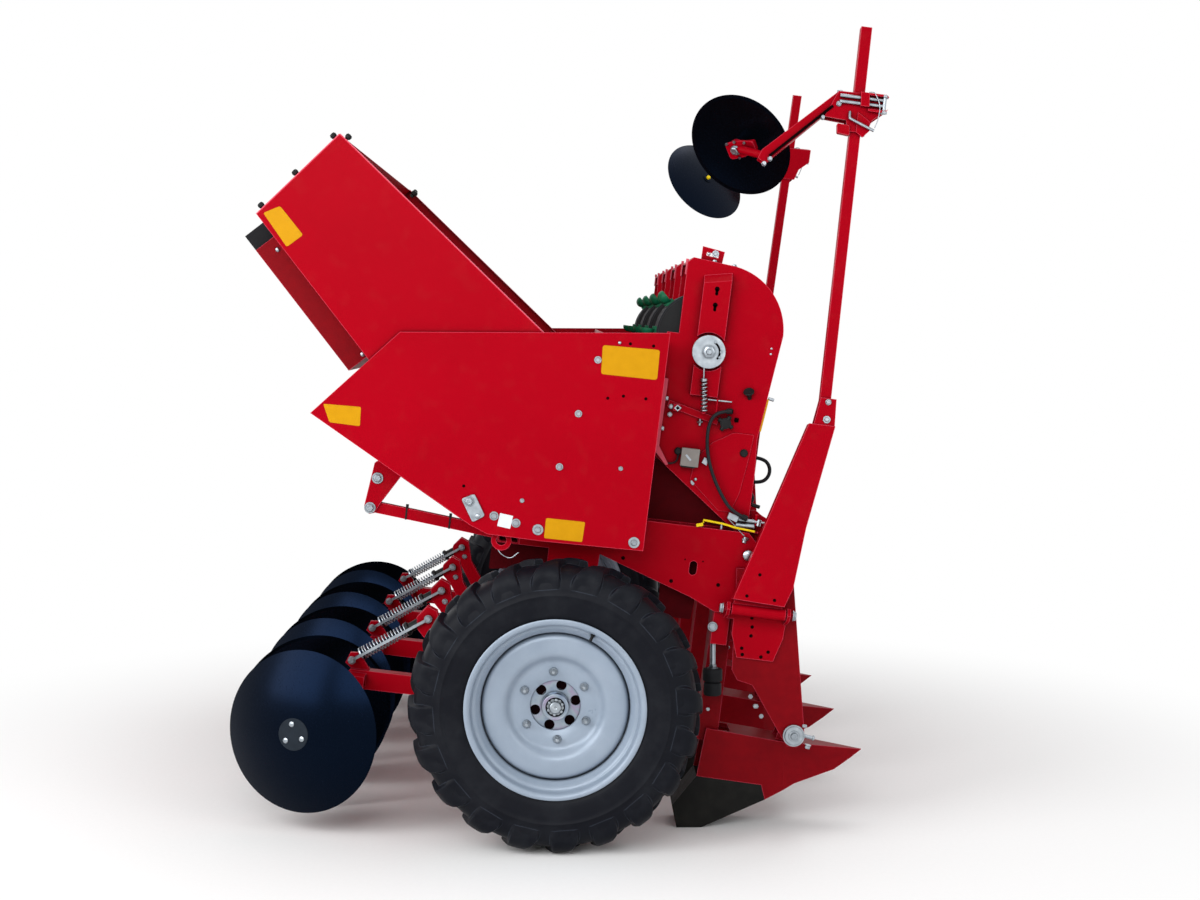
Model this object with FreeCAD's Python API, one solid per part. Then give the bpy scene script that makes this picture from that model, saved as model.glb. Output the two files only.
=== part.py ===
import FreeCAD, Part
import math
import os
from FreeCAD import Placement, Rotation, Vector

# Four-row mounted potato planter, parked nose-down on its two wheels and four furrow openers.
# Machine frame: origin on the wheel axle, +X forward, +Y to the machine's left, +Z up, in mm.
# The finished model is turned by the parking pitch and set on the ground.

# ---------------------------------------------------------------- driving dimensions
parking_pitch = 7.0          # degrees, nose down
row_pitch = 750.0
row_count = 4
housing_half_width = 155.0
housing_gap = 20.0           # between the outer housings and the outside of the frame
outer_row = (row_count - 1) * row_pitch / 2
frame_outer = outer_row + housing_half_width + housing_gap   # outer face of the side frames

wheel_offset = frame_outer + 200.0    # centre plane of each wheel from the machine's middle
tyre_radius = 525.0
tyre_width = 241.0
carcass_radius = 503.0       # crown of the tyre between the lugs
lug_count = 20               # on each side of the tread
carcass_sides = 36           # flat steps of the carcass
lug_width = 34.0
lug_sweep = 62.0             # how far a lug's shoulder end trails its middle
bead_radius = 305.0
flange_radius = 323.0
rim_half_width = 112.0
rim_wall = 7.0
well_radius = 272.0
disc_wall = 8.0
disc_hole_radius = 90.0
dish_radius = 151.0
hub_flange_radius = 140.0
hub_flange_thickness = 15.0
hub_barrel_radius = 58.0
hub_nose_radius = 47.0
hub_hole_radius = 18.5
hub_hole_circle = 74.0
axle_radius = 35.0
running_clearance = 0.05     # radial, between a shaft and its bore
side_clearance = 5.0         # between parts that turn past each other

side_frame_width = 60.0
sheet = 8.0                  # frame plate
front_beam = 120.0
front_beam_x = 690.0
front_beam_z = 440.0
frame_top = 672.0
hopper_deck = 600.0          # top of the frame under the hopper floor
tube_wall = 10.0

end_plate = 12.0
shaft_x = 886.0              # share shaft
shaft_z = -48.0
shaft_radius = 25.0
washer_radius = 40.0

hopper_half_width = frame_outer + 200.0
hopper_plate = 5.0
floor_plate = 4.0
hopper_front_x = 243.0

bin_gap = 12.0               # between the tipping bin and each hopper side
bin_half_width = hopper_half_width - bin_gap
bin_plate = 4.0
bin_pivot_x = -418.0
bin_pivot_z = 1100.0
bin_pin_radius = 15.0
tray_depth = 100.0

housing_plate = 4.0
housing_rear_x = 286.0
boot_half_width = 104.0
tube_half_width = 65.0
tube_foot_z = -130.0
tube_rear_x = 545.0
tube_front_x = 621.0

opener_half_width = 90.0
opener_plate = 10.0
tube_slot = 70.0             # half-width of the opener's slot round the planting tube

disc_radius = 300.0
disc_plate = 5.0
disc_depth = 70.0
disc_spread = 175.0          # disc centre from the row's middle
disc_toe = 20.0              # degrees
disc_x = -907.0
disc_z = -251.0
spindle_radius = 15.0

marker_hinge_y = frame_outer + 85.0
marker_hinge_z = 400.0
marker_lean = 8.0            # degrees inboard when folded up
marker_pin_radius = 12.0
marker_disc_radius = 205.0


# ---------------------------------------------------------------- helpers
def prism(points, y0, y1):
    """Upright outline of (x, z) points, extruded across the machine."""
    wire = Part.makePolygon([Vector(x, y0, z) for x, z in points + points[:1]])
    return Part.Face(wire).extrude(Vector(0, y1 - y0, 0))


def box(x0, x1, y0, y1, z0, z1):
    return Part.makeBox(x1 - x0, y1 - y0, z1 - z0, Vector(x0, y0, z0))


def rod(start, end, radius):
    """Round bar from one point to another."""
    axis = Vector(*end) - Vector(*start)
    return Part.makeCylinder(radius, axis.Length, Vector(*start), axis)


def cross_rod(x, z, radius, y0, y1):
    return Part.makeCylinder(radius, y1 - y0, Vector(x, y0, z), Vector(0, 1, 0))


def joined(shapes):
    first = shapes[0]
    return first.multiFuse(shapes[1:]).removeSplitter()


def mirrored(shape):
    """The same piece on the other side of the machine."""
    return shape.mirror(Vector(0, 0, 0), Vector(0, 1, 0))


def pair(shape):
    return [shape, mirrored(shape)]


def moved(shape, x=0.0, y=0.0, z=0.0):
    copy = shape.copy()
    copy.translate(Vector(x, y, z))
    return copy


def inset(points, distance):
    """The outline moved inwards by a distance."""
    wire = Part.makePolygon([Vector(x, 0, z) for x, z in points + points[:1]])
    inner = wire.makeOffset2D(-distance, 2)
    return [(v.Point.x, v.Point.z) for v in inner.OrderedVertexes]


def strip(start, end, half):
    """Outline of a flat bar between two (x, z) points."""
    dx, dz = end[0] - start[0], end[1] - start[1]
    length = math.hypot(dx, dz)
    nx, nz = -dz / length * half, dx / length * half
    return [(start[0] + nx, start[1] + nz), (end[0] + nx, end[1] + nz), (end[0] - nx, end[1] - nz),
            (start[0] - nx, start[1] - nz)]


def lathe(profile, offset=0.0):
    """Turn a closed (radius, y) outline about the cross axis."""
    wire = Part.makePolygon([Vector(r, offset + y, 0) for r, y in profile + profile[:1]])
    return Part.Face(wire).revolve(Vector(0, 0, 0), Vector(0, 1, 0), 360)


def faceted(profile, sides):
    """Closed (radius, y) outline turned about the cross axis in flat steps."""
    rings = []
    for i in range(sides):
        a = 2 * math.pi * (i + 0.5) / sides
        rings.append([Vector(r * math.cos(a), y, r * math.sin(a)) for r, y in profile])
    faces = []
    for i in range(sides):
        near, far = rings[i - 1], rings[i]
        for k in range(len(profile)):
            faces.append(Part.Face(Part.makePolygon([near[k - 1], near[k], far[k], far[k - 1], near[k - 1]])))
    return Part.makeSolid(Part.makeShell(faces))


def level(x, z):
    """Machine-frame point of a spot given level with the ground, x from under the axle, z from the ground."""
    drop = z - tyre_radius
    s = math.sin(math.radians(parking_pitch))
    c = math.cos(math.radians(parking_pitch))
    return (x * c - drop * s, x * s + drop * c)


def rows():
    return [i * row_pitch - outer_row for i in range(row_count)]


# ---------------------------------------------------------------- wheels
def lug(side):
    """One slanting bar of the tread, on top of the wheel, from the middle to one shoulder."""
    w = tyre_width / 2
    reach = (lug_sweep + lug_width) / 2
    top = math.sqrt(tyre_radius ** 2 - reach ** 2)
    plan = [(reach, 3), (reach - lug_width, 3), (-reach, w), (lug_width - reach, w)]
    wire = Part.makePolygon([Vector(x, side * y, 420) for x, y in plan + plan[:1]])
    bar = Part.Face(wire).extrude(Vector(0, 0, top - 420))
    section = [(0, 420), (0, top), (w - 12, top), (w, 462)]
    wire = Part.makePolygon([Vector(-200, side * y, z) for y, z in section + section[:1]])
    return bar.common(Part.Face(wire).extrude(Vector(400, 0, 0)))


def tyre():
    """Hollow carcass with its bead seats on the rim and a tread of slanting lugs."""
    w = tyre_width / 2
    lip = rim_half_width - rim_wall
    bead = bead_radius / math.cos(math.pi / carcass_sides)
    outer = [(bead, lip), (flange_radius + 2, lip), (390, w - 1), (478, w - 14), (carcass_radius, w - 50)]
    inner = [(478, w - 48), (bead, w - 30)]
    far_outer = [(r, -y) for r, y in reversed(outer)]
    far_inner = [(r, -y) for r, y in reversed(inner)]
    carcass = faceted(outer + far_outer + far_inner + inner, carcass_sides)
    reach = math.degrees(math.asin((lug_sweep + lug_width) / 2 / tyre_radius))
    bars = []
    for side in (-1, 1):
        bar = lug(side)
        for i in range(lug_count):
            copy = bar.copy()
            turn = (i + 0.25 * (side + 1)) * 360.0 / lug_count + 180 + reach - parking_pitch
            copy.rotate(Vector(0, 0, 0), Vector(0, 1, 0), turn)
            bars.append(copy)
    return moved(joined([carcass] + bars), y=wheel_offset)


def rim():
    """Drop-centre rim with its dished wheel disc."""
    lip = rim_half_width - rim_wall
    seat = bead_radius - 0.2
    top = [(flange_radius, rim_half_width), (flange_radius, lip), (seat, lip), (seat, 70),
           (well_radius, 50)]
    below = [(seat - rim_wall, lip + 1), (seat - rim_wall, 67), (well_radius - rim_wall, 46)]
    edge = [(flange_radius - 12, rim_half_width)]
    outline = (top + [(r, -y) for r, y in reversed(top)] + [(r, -y) for r, y in edge + below]
               + list(reversed(edge + below)))
    ring = lathe(outline, wheel_offset)
    face = 46.0
    dish = 20.0
    bore = well_radius - rim_wall
    disc = lathe([(bore + 1, face), (dish_radius + 30, face), (dish_radius, dish), (disc_hole_radius, dish),
                  (disc_hole_radius, dish - disc_wall), (dish_radius + 2, dish - disc_wall),
                  (dish_radius + 32, face - disc_wall), (bore + 1, face - disc_wall)], wheel_offset)
    return joined([ring, disc])


def hub_seat():
    """Distance from the middle to the face that the wheel disc bolts to."""
    return wheel_offset + 20.0 - disc_wall


def hub():
    seat = hub_seat()
    inner_end = frame_outer + 100.0
    body = joined([
        cross_rod(0, 0, hub_flange_radius, seat - hub_flange_thickness, seat),
        cross_rod(0, 0, hub_barrel_radius, inner_end, seat),
        cross_rod(0, 0, hub_nose_radius, seat, seat + 42.0),
    ])
    cuts = [cross_rod(0, 0, axle_radius + running_clearance, inner_end - 1, seat + 43.0)]
    for i in range(6):
        a = math.radians(60 * i + 20)
        x = hub_hole_circle * math.cos(a)
        z = hub_hole_circle * math.sin(a)
        cuts.append(cross_rod(x, z, hub_hole_radius, seat - hub_flange_thickness - 1, seat + 1))
    return body.cut(cuts)


def stub_axle():
    """Axle welded to the wheel leg, with its castle nut."""
    seat = hub_seat()
    shoulder = frame_outer + 100.0 - side_clearance
    return joined([
        cross_rod(0, 0, axle_radius + 15, frame_outer, shoulder),
        cross_rod(0, 0, axle_radius, shoulder, seat + 25.0),
        cross_rod(0, 0, 27.0, seat + 25.0, seat + 38.0),
        cross_rod(0, 0, 20.0, seat + 38.0, seat + 52.0),
    ])


# ---------------------------------------------------------------- frame
beam_step_x = hopper_front_x + 2
beam_outline = [(-200, hopper_deck), (beam_step_x, hopper_deck), (beam_step_x, frame_top), (630, frame_top),
                (front_beam_x, 610),
                (front_beam_x, 370), (540, 370), (445, 413), (98, 530), (-200, 530)]
leg_outline = [(-90, 530), (98, 530), (70, -110), (-90, -110)]
strut_outline = [(-330, -18), (-90, -18), (-90, -108), (-330, -108)]


def side_frame():
    """Side beam, wheel leg and rear strut, folded plate open towards the middle."""
    inner = frame_outer - side_frame_width
    solids = []
    for outline in (beam_outline, leg_outline, strut_outline):
        outer = prism(outline, inner, frame_outer)
        pocket = prism(inset(outline, sheet), inner - 1, frame_outer - sheet)
        solids.append(outer.cut(pocket))
    frame = joined(solids)
    x, low, high, r = 443, 508, 532, 14
    end = frame_outer + 1
    oval = joined([cross_rod(x, low, r, inner, end), cross_rod(x, high, r, inner, end),
                   box(x - r, x + r, inner, end, low, high)])
    return frame.cut(oval)


def square_tube(x0, z0, size_x, size_z, half_length, wall):
    outer = box(x0, x0 + size_x, -half_length, half_length, z0, z0 + size_z)
    end = half_length + 1
    inner = box(x0 + wall, x0 + size_x - wall, -end, end, z0 + wall, z0 + size_z - wall)
    return outer.cut(inner)


def cross_beams():
    """Front beam, hopper beam, element beam and the tool beam of the closing discs."""
    inner = frame_outer - side_frame_width
    front = square_tube(front_beam_x, front_beam_z, front_beam, front_beam, frame_outer, tube_wall)
    hopper = square_tube(-280, 530, 80, 70, frame_outer, 6)
    element = square_tube(627, frame_top - 50, 50, 50, inner, 5)
    tool = square_tube(-420, -108, 90, 90, frame_outer, 8)
    return [front, hopper, element, tool]


hanger_outline = [(600, 540), (806, 556), (930, -60), (905, -92), (868, -92), (842, -60),
                  (712, 118), (655, 130), (630, 165), (612, 420)]


def hanger(y0, y1, outline):
    plate = prism(outline, y0, y1)
    return plate.cut(cross_rod(shaft_x, shaft_z, shaft_radius + 0.1, y0 - 1, y1 + 1))


def share_hangers():
    """End plates outside the frame and three plates under the front beam, all carrying the share shaft."""
    plates = pair(hanger(frame_outer, frame_outer + end_plate, hanger_outline))
    inner_outline = [(700, front_beam_z), (806, front_beam_z), (930, -60), (905, -92), (868, -92), (842, -60),
                     (712, 300)]
    for y in (-row_pitch, 0.0, row_pitch):
        plates.append(hanger(y - end_plate / 2, y + end_plate / 2, inner_outline))
    return plates


def share_shaft():
    end = frame_outer + end_plate
    solids = [cross_rod(shaft_x, shaft_z, shaft_radius, -end - 14, end + 14)]
    for y in (-end - 14, end + 2):
        solids.append(cross_rod(shaft_x, shaft_z, washer_radius, y, y + 12))
    return joined(solids)


# ---------------------------------------------------------------- hitch
hitch_y = 380.0              # inner face of each lower-link plate
hitch_x = 900.0
hitch_z = 430.0
hitch_plate = 20.0
hitch_pin_radius = 14.0
hitch_pin_length = 70.0
top_bore_radius = 12.85
mast_half_gap = 30.0
mast_plate = 12.0
mast_x = 727.0
mast_pin_z = 1040.0


def headstock():
    """Two lower-link plates with their stub pins, and the top-link mast."""
    front = front_beam_x + front_beam
    link = prism([(front, front_beam_z - 40), (hitch_x, hitch_z - 40), (hitch_x + 35, hitch_z - 20),
                  (hitch_x + 35, hitch_z + 20), (hitch_x, hitch_z + 45), (front, front_beam_z + front_beam)],
                 hitch_y, hitch_y + hitch_plate)
    face = hitch_y + hitch_plate
    stub = cross_rod(hitch_x, hitch_z, hitch_pin_radius, face, face + hitch_pin_length)
    links = pair(joined([link, stub]))
    masts = []
    top = front_beam_z + front_beam
    for y in (-mast_half_gap - mast_plate, mast_half_gap):
        plate = prism([(front_beam_x, top), (front_beam_x + 110, top), (mast_x + 30, 800),
                       (mast_x + 30, mast_pin_z + 30), (mast_x - 30, mast_pin_z + 30), (mast_x - 30, 800)],
                      y, y + mast_plate)
        masts.append(plate.cut(cross_rod(mast_x, mast_pin_z, top_bore_radius, y - 1, y + mast_plate + 1)))
    spacer = box(mast_x - 27, mast_x - 15, -mast_half_gap, mast_half_gap, top, 960)
    return links + [joined(masts + [spacer])]


# ---------------------------------------------------------------- furrow openers
opener_top = [(560, 375), (870, 318), (1153, 275)]
opener_keel = [(1110, 245), (1045, 205), (890, 162), (779, 104), (766, 160), (524, 195)]
shoe_outline = [(524, 195), (766, 160), (779, 104), (541, 0), (449, 0), (433, 84)]


def plan_prism(points, z0, z1):
    wire = Part.makePolygon([Vector(x, y, z0) for x, y in points + points[:1]])
    return Part.Face(wire).extrude(Vector(0, 0, z1 - z0))


def tilt_level(shape):
    """Turn a piece drawn level with the ground into the machine frame."""
    copy = shape.copy()
    copy.translate(Vector(0, 0, -tyre_radius))
    copy.rotate(Vector(0, 0, 0), Vector(0, 1, 0), -parking_pitch)
    return copy


def opener_wedge(half, nose_x, shoulder_x, rear_x):
    return plan_prism([(nose_x, -3), (nose_x, 3), (shoulder_x, half), (rear_x, half), (rear_x, -half),
                       (shoulder_x, -half)], -10, 500)


def furrow_opener():
    """Boat-shaped plough body: two side plates that meet in the point, open behind and below."""
    body = prism(opener_top + opener_keel, -opener_half_width, opener_half_width)
    body = body.common(opener_wedge(opener_half_width, 1153, 850, 500))
    hollow = prism([(480, 360), (560, 360), (870, 303), (1080, 268), (1060, 100), (480, -50)],
                   -opener_half_width, opener_half_width)
    hollow = hollow.common(opener_wedge(opener_half_width - opener_plate, 1075, 840, 400))
    slot = box(400, tube_front_x + 29, -tube_slot, tube_slot, 250, 420)
    shell = tilt_level(body.cut([hollow, slot]))
    lugs = []
    top_x, top_z = level(873, 300)
    for y in (-55, 43):
        lugs.append(prism([(top_x - 60, top_z - 5), (top_x + 60, top_z - 12), (shaft_x + 28, shaft_z + 25),
                           (shaft_x, shaft_z + 42), (shaft_x - 28, shaft_z + 25)], y, y + 12))
    solid = joined([shell] + lugs)
    return solid.cut(cross_rod(shaft_x, shaft_z, shaft_radius + 0.1, -100, 100))


def wear_shoe():
    """Blunt heel under each opener that runs on the bottom of the furrow."""
    shoe = prism(shoe_outline, -opener_half_width, opener_half_width)
    return tilt_level(shoe)


def stop_buffer():
    """Bracket under the side beam with a rod and its two rubber cushions."""
    y0 = frame_outer - side_frame_width + 5
    y1 = frame_outer - 8
    y = (y0 + y1) / 2
    top, foot = Vector(554, y, 236), Vector(578, y, 36)
    down = foot - top

    def along(share):
        return tuple(top + down * share)

    bracket = box(541, 600, y0, y1, 250, 370)
    stem = rod(along(-0.2), along(0.4), 9)
    upper = rod(along(0.4), along(0.64), 36)
    neck = rod(along(0.64), along(0.66), 25)
    lower = rod(along(0.66), along(0.9), 33)
    return joined([bracket, stem]), joined([upper, neck, lower])


# ---------------------------------------------------------------- hopper
hopper_outline = [(-983, 928), (-702, 1250), (hopper_front_x, 1362), (hopper_front_x, 583), (-121, 575),
                  (-314, 577), (-378, 602)]
floor_bend_x = -378.0
floor_rear = (-660.0, 752.0)


def floor_under(x):
    """Height of the underside of the sloping part of the hopper floor."""
    share = (x - floor_rear[0]) / (floor_bend_x - floor_rear[0])
    return floor_rear[1] + share * (hopper_deck - floor_rear[1])


def hopper_side():
    outer = hopper_half_width
    plate = prism(hopper_outline, outer - hopper_plate, outer)
    flange = box(hopper_front_x - hopper_plate, hopper_front_x, outer - 40, outer - hopper_plate, 620, 1340)
    pin = cross_rod(bin_pivot_x, bin_pivot_z, bin_pin_radius, outer - hopper_plate - 26, outer - hopper_plate)
    return joined([plate, flange, pin])


def lifting_eye():
    """Ring plate under the edge of the hopper side."""
    outer = hopper_half_width
    x, z = -262, hopper_deck - 43
    y0, y1 = outer - 45, outer - 33
    ring = joined([cross_rod(x, z, 36, y0, y1), box(x - 20, x + 20, y0, y1, z, hopper_deck)])
    return ring.cut(cross_rod(x, z, 18, y0 - 1, y1 + 1))


def hopper_floor():
    """Floor sheet with the feed wall and the front wall that the row elements reach through."""
    half = hopper_half_width - hopper_plate
    t = floor_plate
    edge = hopper_front_x
    rise = [floor_rear, (floor_bend_x, hopper_deck), (edge, hopper_deck), (edge, hopper_deck + t),
            (floor_bend_x + 1, hopper_deck + t), (floor_rear[0], floor_rear[1] + t + 1)]
    floor = prism(rise, -half, half)
    feed_wall = prism([(-92, 845), (-88, 845), (24, 1330), (20, 1330)], -half, half)
    front_x = hopper_front_x - hopper_plate - t
    front = box(front_x, front_x + t, -half, half, hopper_deck + t - 1, 1330)
    for y in rows():
        front = front.cut(box(front_x - 1, front_x + t + 1, y - housing_half_width, y + housing_half_width,
                              hopper_deck + t, 1400))
    return [joined([floor, front]), feed_wall]


def hopper_strut():
    """Stay from the hopper beam to the rear of the hopper floor."""
    y0 = frame_outer - side_frame_width
    tube = prism([(-757, 622), (-280, 579), (-280, 539), (-757, 582)], y0, y0 + 40)
    cheek = [(-777, 603), (-772, 583), (-755, 574), (-737, 580), (-720, 617), (-645, floor_under(-645)),
             (-659, floor_under(-659)), (-742, 772), (-757, 763)]
    return joined([tube, prism(cheek, y0 - 8, y0), prism(cheek, y0 + 40, y0 + 48)])


# ---------------------------------------------------------------- tipping bin
bin_top = (-991.0, 1910.0)
bin_heel = (-1249.0, 1598.0)
bin_lip = (-578.0, 911.0)
bin_front = (-168.0, 1283.0)


def along_floor(distance, below=0.0):
    """Point along the bin floor from its heel, and so far below it."""
    dx = bin_lip[0] - bin_heel[0]
    dz = bin_lip[1] - bin_heel[1]
    length = math.hypot(dx, dz)
    ux, uz = dx / length, dz / length
    return (bin_heel[0] + ux * distance + uz * below, bin_heel[1] + uz * distance - ux * below)


def bin_shell():
    """Two sides, floor and tail wall of the tipping bin."""
    outer = bin_half_width
    t = bin_plate
    sides = [bin_top, bin_heel, bin_lip, bin_front]
    shell = [prism(sides, outer - t, outer), prism(sides, -outer, -outer + t)]
    length = math.hypot(bin_lip[0] - bin_heel[0], bin_lip[1] - bin_heel[1])
    floor = [along_floor(0, -t), along_floor(length, -t), along_floor(length), along_floor(0)]
    shell.append(prism(floor, -outer, outer))
    dx = bin_top[0] - bin_heel[0]
    dz = bin_top[1] - bin_heel[1]
    rise = math.hypot(dx, dz)
    nx, nz = dz / rise * t, -dx / rise * t
    tail = [bin_heel, bin_top, (bin_top[0] + nx, bin_top[1] + nz), (bin_heel[0] + nx, bin_heel[1] + nz)]
    shell.append(prism(tail, -outer, outer))
    for side in (-1, 1):
        y0, y1 = sorted((side * (outer - t - 10), side * (outer - t)))
        shell.append(cross_rod(bin_pivot_x, bin_pivot_z, 32, y0, y1))
    hole = cross_rod(bin_pivot_x, bin_pivot_z, bin_pin_radius + running_clearance, -outer - 1, outer + 1)
    return joined(shell).cut(hole)


def bin_tray():
    """Stiffening box under the bin floor."""
    half = frame_outer
    near, far = 75.0, 620.0
    t = bin_plate
    outer = prism([along_floor(near), along_floor(far), along_floor(far, tray_depth),
                   along_floor(near, tray_depth)], -half, half)
    inner = prism([along_floor(near + t, -1), along_floor(far - t, -1), along_floor(far - t, tray_depth - t),
                   along_floor(near + t, tray_depth - t)], -half + t, half - t)
    return outer.cut(inner)


def bin_bumper():
    half = frame_outer - 50
    outline = [along_floor(5, 8), along_floor(75, 8), along_floor(75, 105), along_floor(5, 105)]
    return prism(outline, -half, half)


# ---------------------------------------------------------------- row elements
housing_crown = (306.0, 1645.0)
housing_shoulder = (440.0, 1632.0)


def housing_top(x):
    """Height of a housing's sloping top."""
    share = (x - housing_crown[0]) / (housing_shoulder[0] - housing_crown[0])
    return housing_crown[1] + share * (housing_shoulder[1] - housing_crown[1])


def housing_face(clearance):
    """Side outline of a cup-belt housing, moved inwards by a clearance."""
    c = clearance
    start = Vector(housing_shoulder[0], 0, housing_shoulder[1] - c)
    middle = Vector(598 - 0.7 * c, 0, 1560 - 0.7 * c)
    end = Vector(665 - c, 0, 1400)
    arc = Part.Arc(start, middle, end).toShape()
    points = [(618 - c, 1013), (625 - c, 903), (625 - c, 755), (625 - c, 700), (625 - c, frame_top + c),
              (577 + c, frame_top + c), (hopper_front_x + c, 920 + c), (hopper_front_x + c, 1366 - c),
              (housing_rear_x + c, 1366 - c), (housing_rear_x + c, 1625),
              (housing_crown[0], housing_crown[1] - c)]
    line = Part.makePolygon([end] + [Vector(x, 0, z) for x, z in points] + [start])
    return Part.Face(Part.Wire(Part.__sortEdges__([arc] + line.Edges)))


def boot_cheeks():
    """Two sheets that close the sides of the boot under a housing's sloping bottom."""
    x0 = hopper_front_x + 2
    z0 = frame_top + 1
    outline = [(x0, 921), (572, 678), (572, z0), (x0, z0)]
    return [prism(outline, boot_half_width - housing_plate, boot_half_width),
            prism(outline, -boot_half_width, housing_plate - boot_half_width)]


def housing():
    """Sheet-metal duct of one row, open towards the hopper."""
    half = housing_half_width
    t = housing_plate
    outer = housing_face(0)
    outer.translate(Vector(0, -half, 0))
    body = outer.extrude(Vector(0, 2 * half, 0))
    inner = housing_face(t)
    inner.translate(Vector(0, -half + t, 0))
    cavity = inner.extrude(Vector(0, 2 * (half - t), 0))
    mouth = box(hopper_front_x - 1, housing_rear_x + t + 1, -half + t, half - t, 925, 1620)
    w = tube_half_width
    outlet = box(tube_rear_x, tube_front_x, -w, w, frame_top - 1, frame_top + t + 1)
    foot = box(625, 665, -half, half, frame_top, frame_top + 6)
    return joined([body.cut([cavity, mouth]), foot] + boot_cheeks()).cut(outlet)


def planting_tube():
    """Square tube that drops the tubers from the housing into the opener."""
    t = housing_plate
    w = tube_half_width
    tube = box(tube_rear_x, tube_front_x, -w, w, tube_foot_z, frame_top + t)
    return tube.cut(box(tube_rear_x + t, tube_front_x - t, -w + t, w - t, tube_foot_z - 1, frame_top + t + 1))


guide_centre = (358.0, 1367.0)
guide_radius = 146.0
guide_half_width = housing_half_width - 30.0
belt_thickness = 5.0


def curved_band(inner, outer, y0, y1):
    """Strip that rises straight from the floor and bends over into the housing."""
    cx, cz = guide_centre
    bottom = hopper_deck + floor_plate
    solids = [box(cx - outer, cx - inner, y0, y1, bottom, cz)]
    ring = cross_rod(cx, cz, outer, y0, y1).cut(cross_rod(cx, cz, inner, y0 - 1, y1 + 1))
    keep = box(cx - outer - 1, cx - 60, y0 - 2, y1 + 2, cz, cz + outer + 1)
    solids.append(ring.common(keep))
    return joined(solids)


def belt_guide():
    """Black side cheeks with the sheet that the cup belts slide over."""
    cx, cz = guide_centre
    bottom = hopper_deck + floor_plate
    far = guide_half_width
    near = far - 8
    rear = cx - guide_radius
    crown = cross_rod(cx, cz, guide_radius, near, far)
    crown = crown.common(box(rear - 1, housing_rear_x, near - 1, far + 1, cz, cz + guide_radius + 1))
    cheek = joined([box(rear, hopper_front_x - 9, near, far, bottom, 925),
                    box(rear, housing_rear_x, near, far, 925, cz), crown])
    slide = curved_band(guide_radius - 5, guide_radius, -far, far)
    return joined(pair(cheek) + [slide])


def cup_belts():
    """Two cup belts side by side."""
    r = guide_radius
    edge = guide_half_width - 13
    return [curved_band(r, r + belt_thickness, 6, edge), curved_band(r, r + belt_thickness, -edge, -6)]


cup_radius = 26.0
cup_pitch = 115.0


def cup():
    """Spoon-shaped cup, open on top, with its foot on the belt."""
    ball = Part.makeSphere(cup_radius, Vector(0, 0, 0)).cut(Part.makeSphere(cup_radius - 4, Vector(0, 0, 0)))
    bowl = ball.cut(Part.makeBox(80, 80, 40, Vector(-40, -40, 4)))
    foot = Part.makeBox(10, 24, 34, Vector(cup_radius - 6, -12, -20))
    foot = foot.cut(Part.makeSphere(cup_radius - 2, Vector(0, 0, 0)))
    return joined([bowl, foot])


def cups():
    cx, cz = guide_centre
    face = guide_radius + belt_thickness
    reach = cup_radius + 4
    solids = []
    lane_offset = guide_half_width - 66
    for lane in (-lane_offset, lane_offset):
        for i in range(6):
            solids.append(moved(cup(), cx - face - reach, lane, 1366 - i * cup_pitch))
        angle = cup_pitch / face
        top = cup().copy()
        top.rotate(Vector(0, 0, 0), Vector(0, 1, 0), math.degrees(angle))
        arm = face + reach
        solids.append(moved(top, cx - arm * math.cos(angle), lane, cz + arm * math.sin(angle)))
    return solids


drive_face = -outer_row - housing_half_width   # outer face of the outer right housing
drive_x = 399.0              # adjusting disc
drive_z = 1311.0
channel_depth = 30.0


def above_lid(drop):
    """Everything above the channel's sloping lid, or above a plane so far below it."""
    low, high = drive_face - channel_depth - 1, drive_face + 2
    points = [(low, 1554 - drop), (low, 1640), (high, 1640), (high, 1585 - drop)]
    wire = Part.makePolygon([Vector(342, y, z) for y, z in points + points[:1]])
    return Part.Face(wire).extrude(Vector(120, 0, 24))


def drive_channel():
    """Folded bracket on the outside of the outer right housing."""
    low = drive_face - channel_depth
    high = drive_face
    web = prism([(352, 1150), (452, 1150), (452, 1605), (352, 1585)], low, high)
    hollow = prism([(356, 1140), (448, 1140), (448, 1604), (356, 1585)], low + 4, high + 1)
    notch = cross_rod(drive_x, drive_z, 70, low - 1, high + 1)
    return web.cut([hollow.cut(above_lid(5)), above_lid(0), notch])


def drive_disc():
    """Zinc-plated adjusting disc on its spindle."""
    x, z, y = drive_x, drive_z, drive_face
    return joined([cross_rod(x, z, 60, y - 48, y - 40), cross_rod(x, z, 18, y - 60, y),
                   cross_rod(x, z, 24, y - 52, y - 30)])


def top_bracket():
    """Slotted lug on top of the outer right housing."""
    y = drive_face + 26
    plate = prism([(334, housing_top(334)), (335, 1690), (417, 1678), (412, housing_top(412))], y, y + 4)
    return plate.cut(prism(strip((352, 1664), (396, 1659), 6), y - 1, y + 5))


def drive_spring():
    """Tension spring below the adjusting disc, in front of the channel."""
    radius = 14.0
    y = drive_face - channel_depth - radius - 0.3
    return rod((389, y, 1249), (408, y, 1098.5), radius)


def drive_lever():
    bar = prism(strip((279, 1108), (467, 1062), 12), drive_face - 10, drive_face)
    socket = box(298, 322, drive_face - 24, drive_face - 10, 1084, 1108)
    hook = cross_rod(408, 1092, 6, drive_face - 46, drive_face - 10)
    return joined([bar, socket, hook])


def control_box():
    return box(348, 413, drive_face - 35, drive_face, 889, 954)


def control_knobs():
    """Star knob and a small push knob on the side of the outer right housing."""
    y = drive_face
    star = joined([cross_rod(494, 1060, 8, y - 14, y), cross_rod(494, 1060, 20, y - 28, y - 14)])
    push = joined([cross_rod(566, 1178, 4, y - 12, y), cross_rod(566, 1178, 9, y - 20, y - 12)])
    return [star, push]


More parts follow.
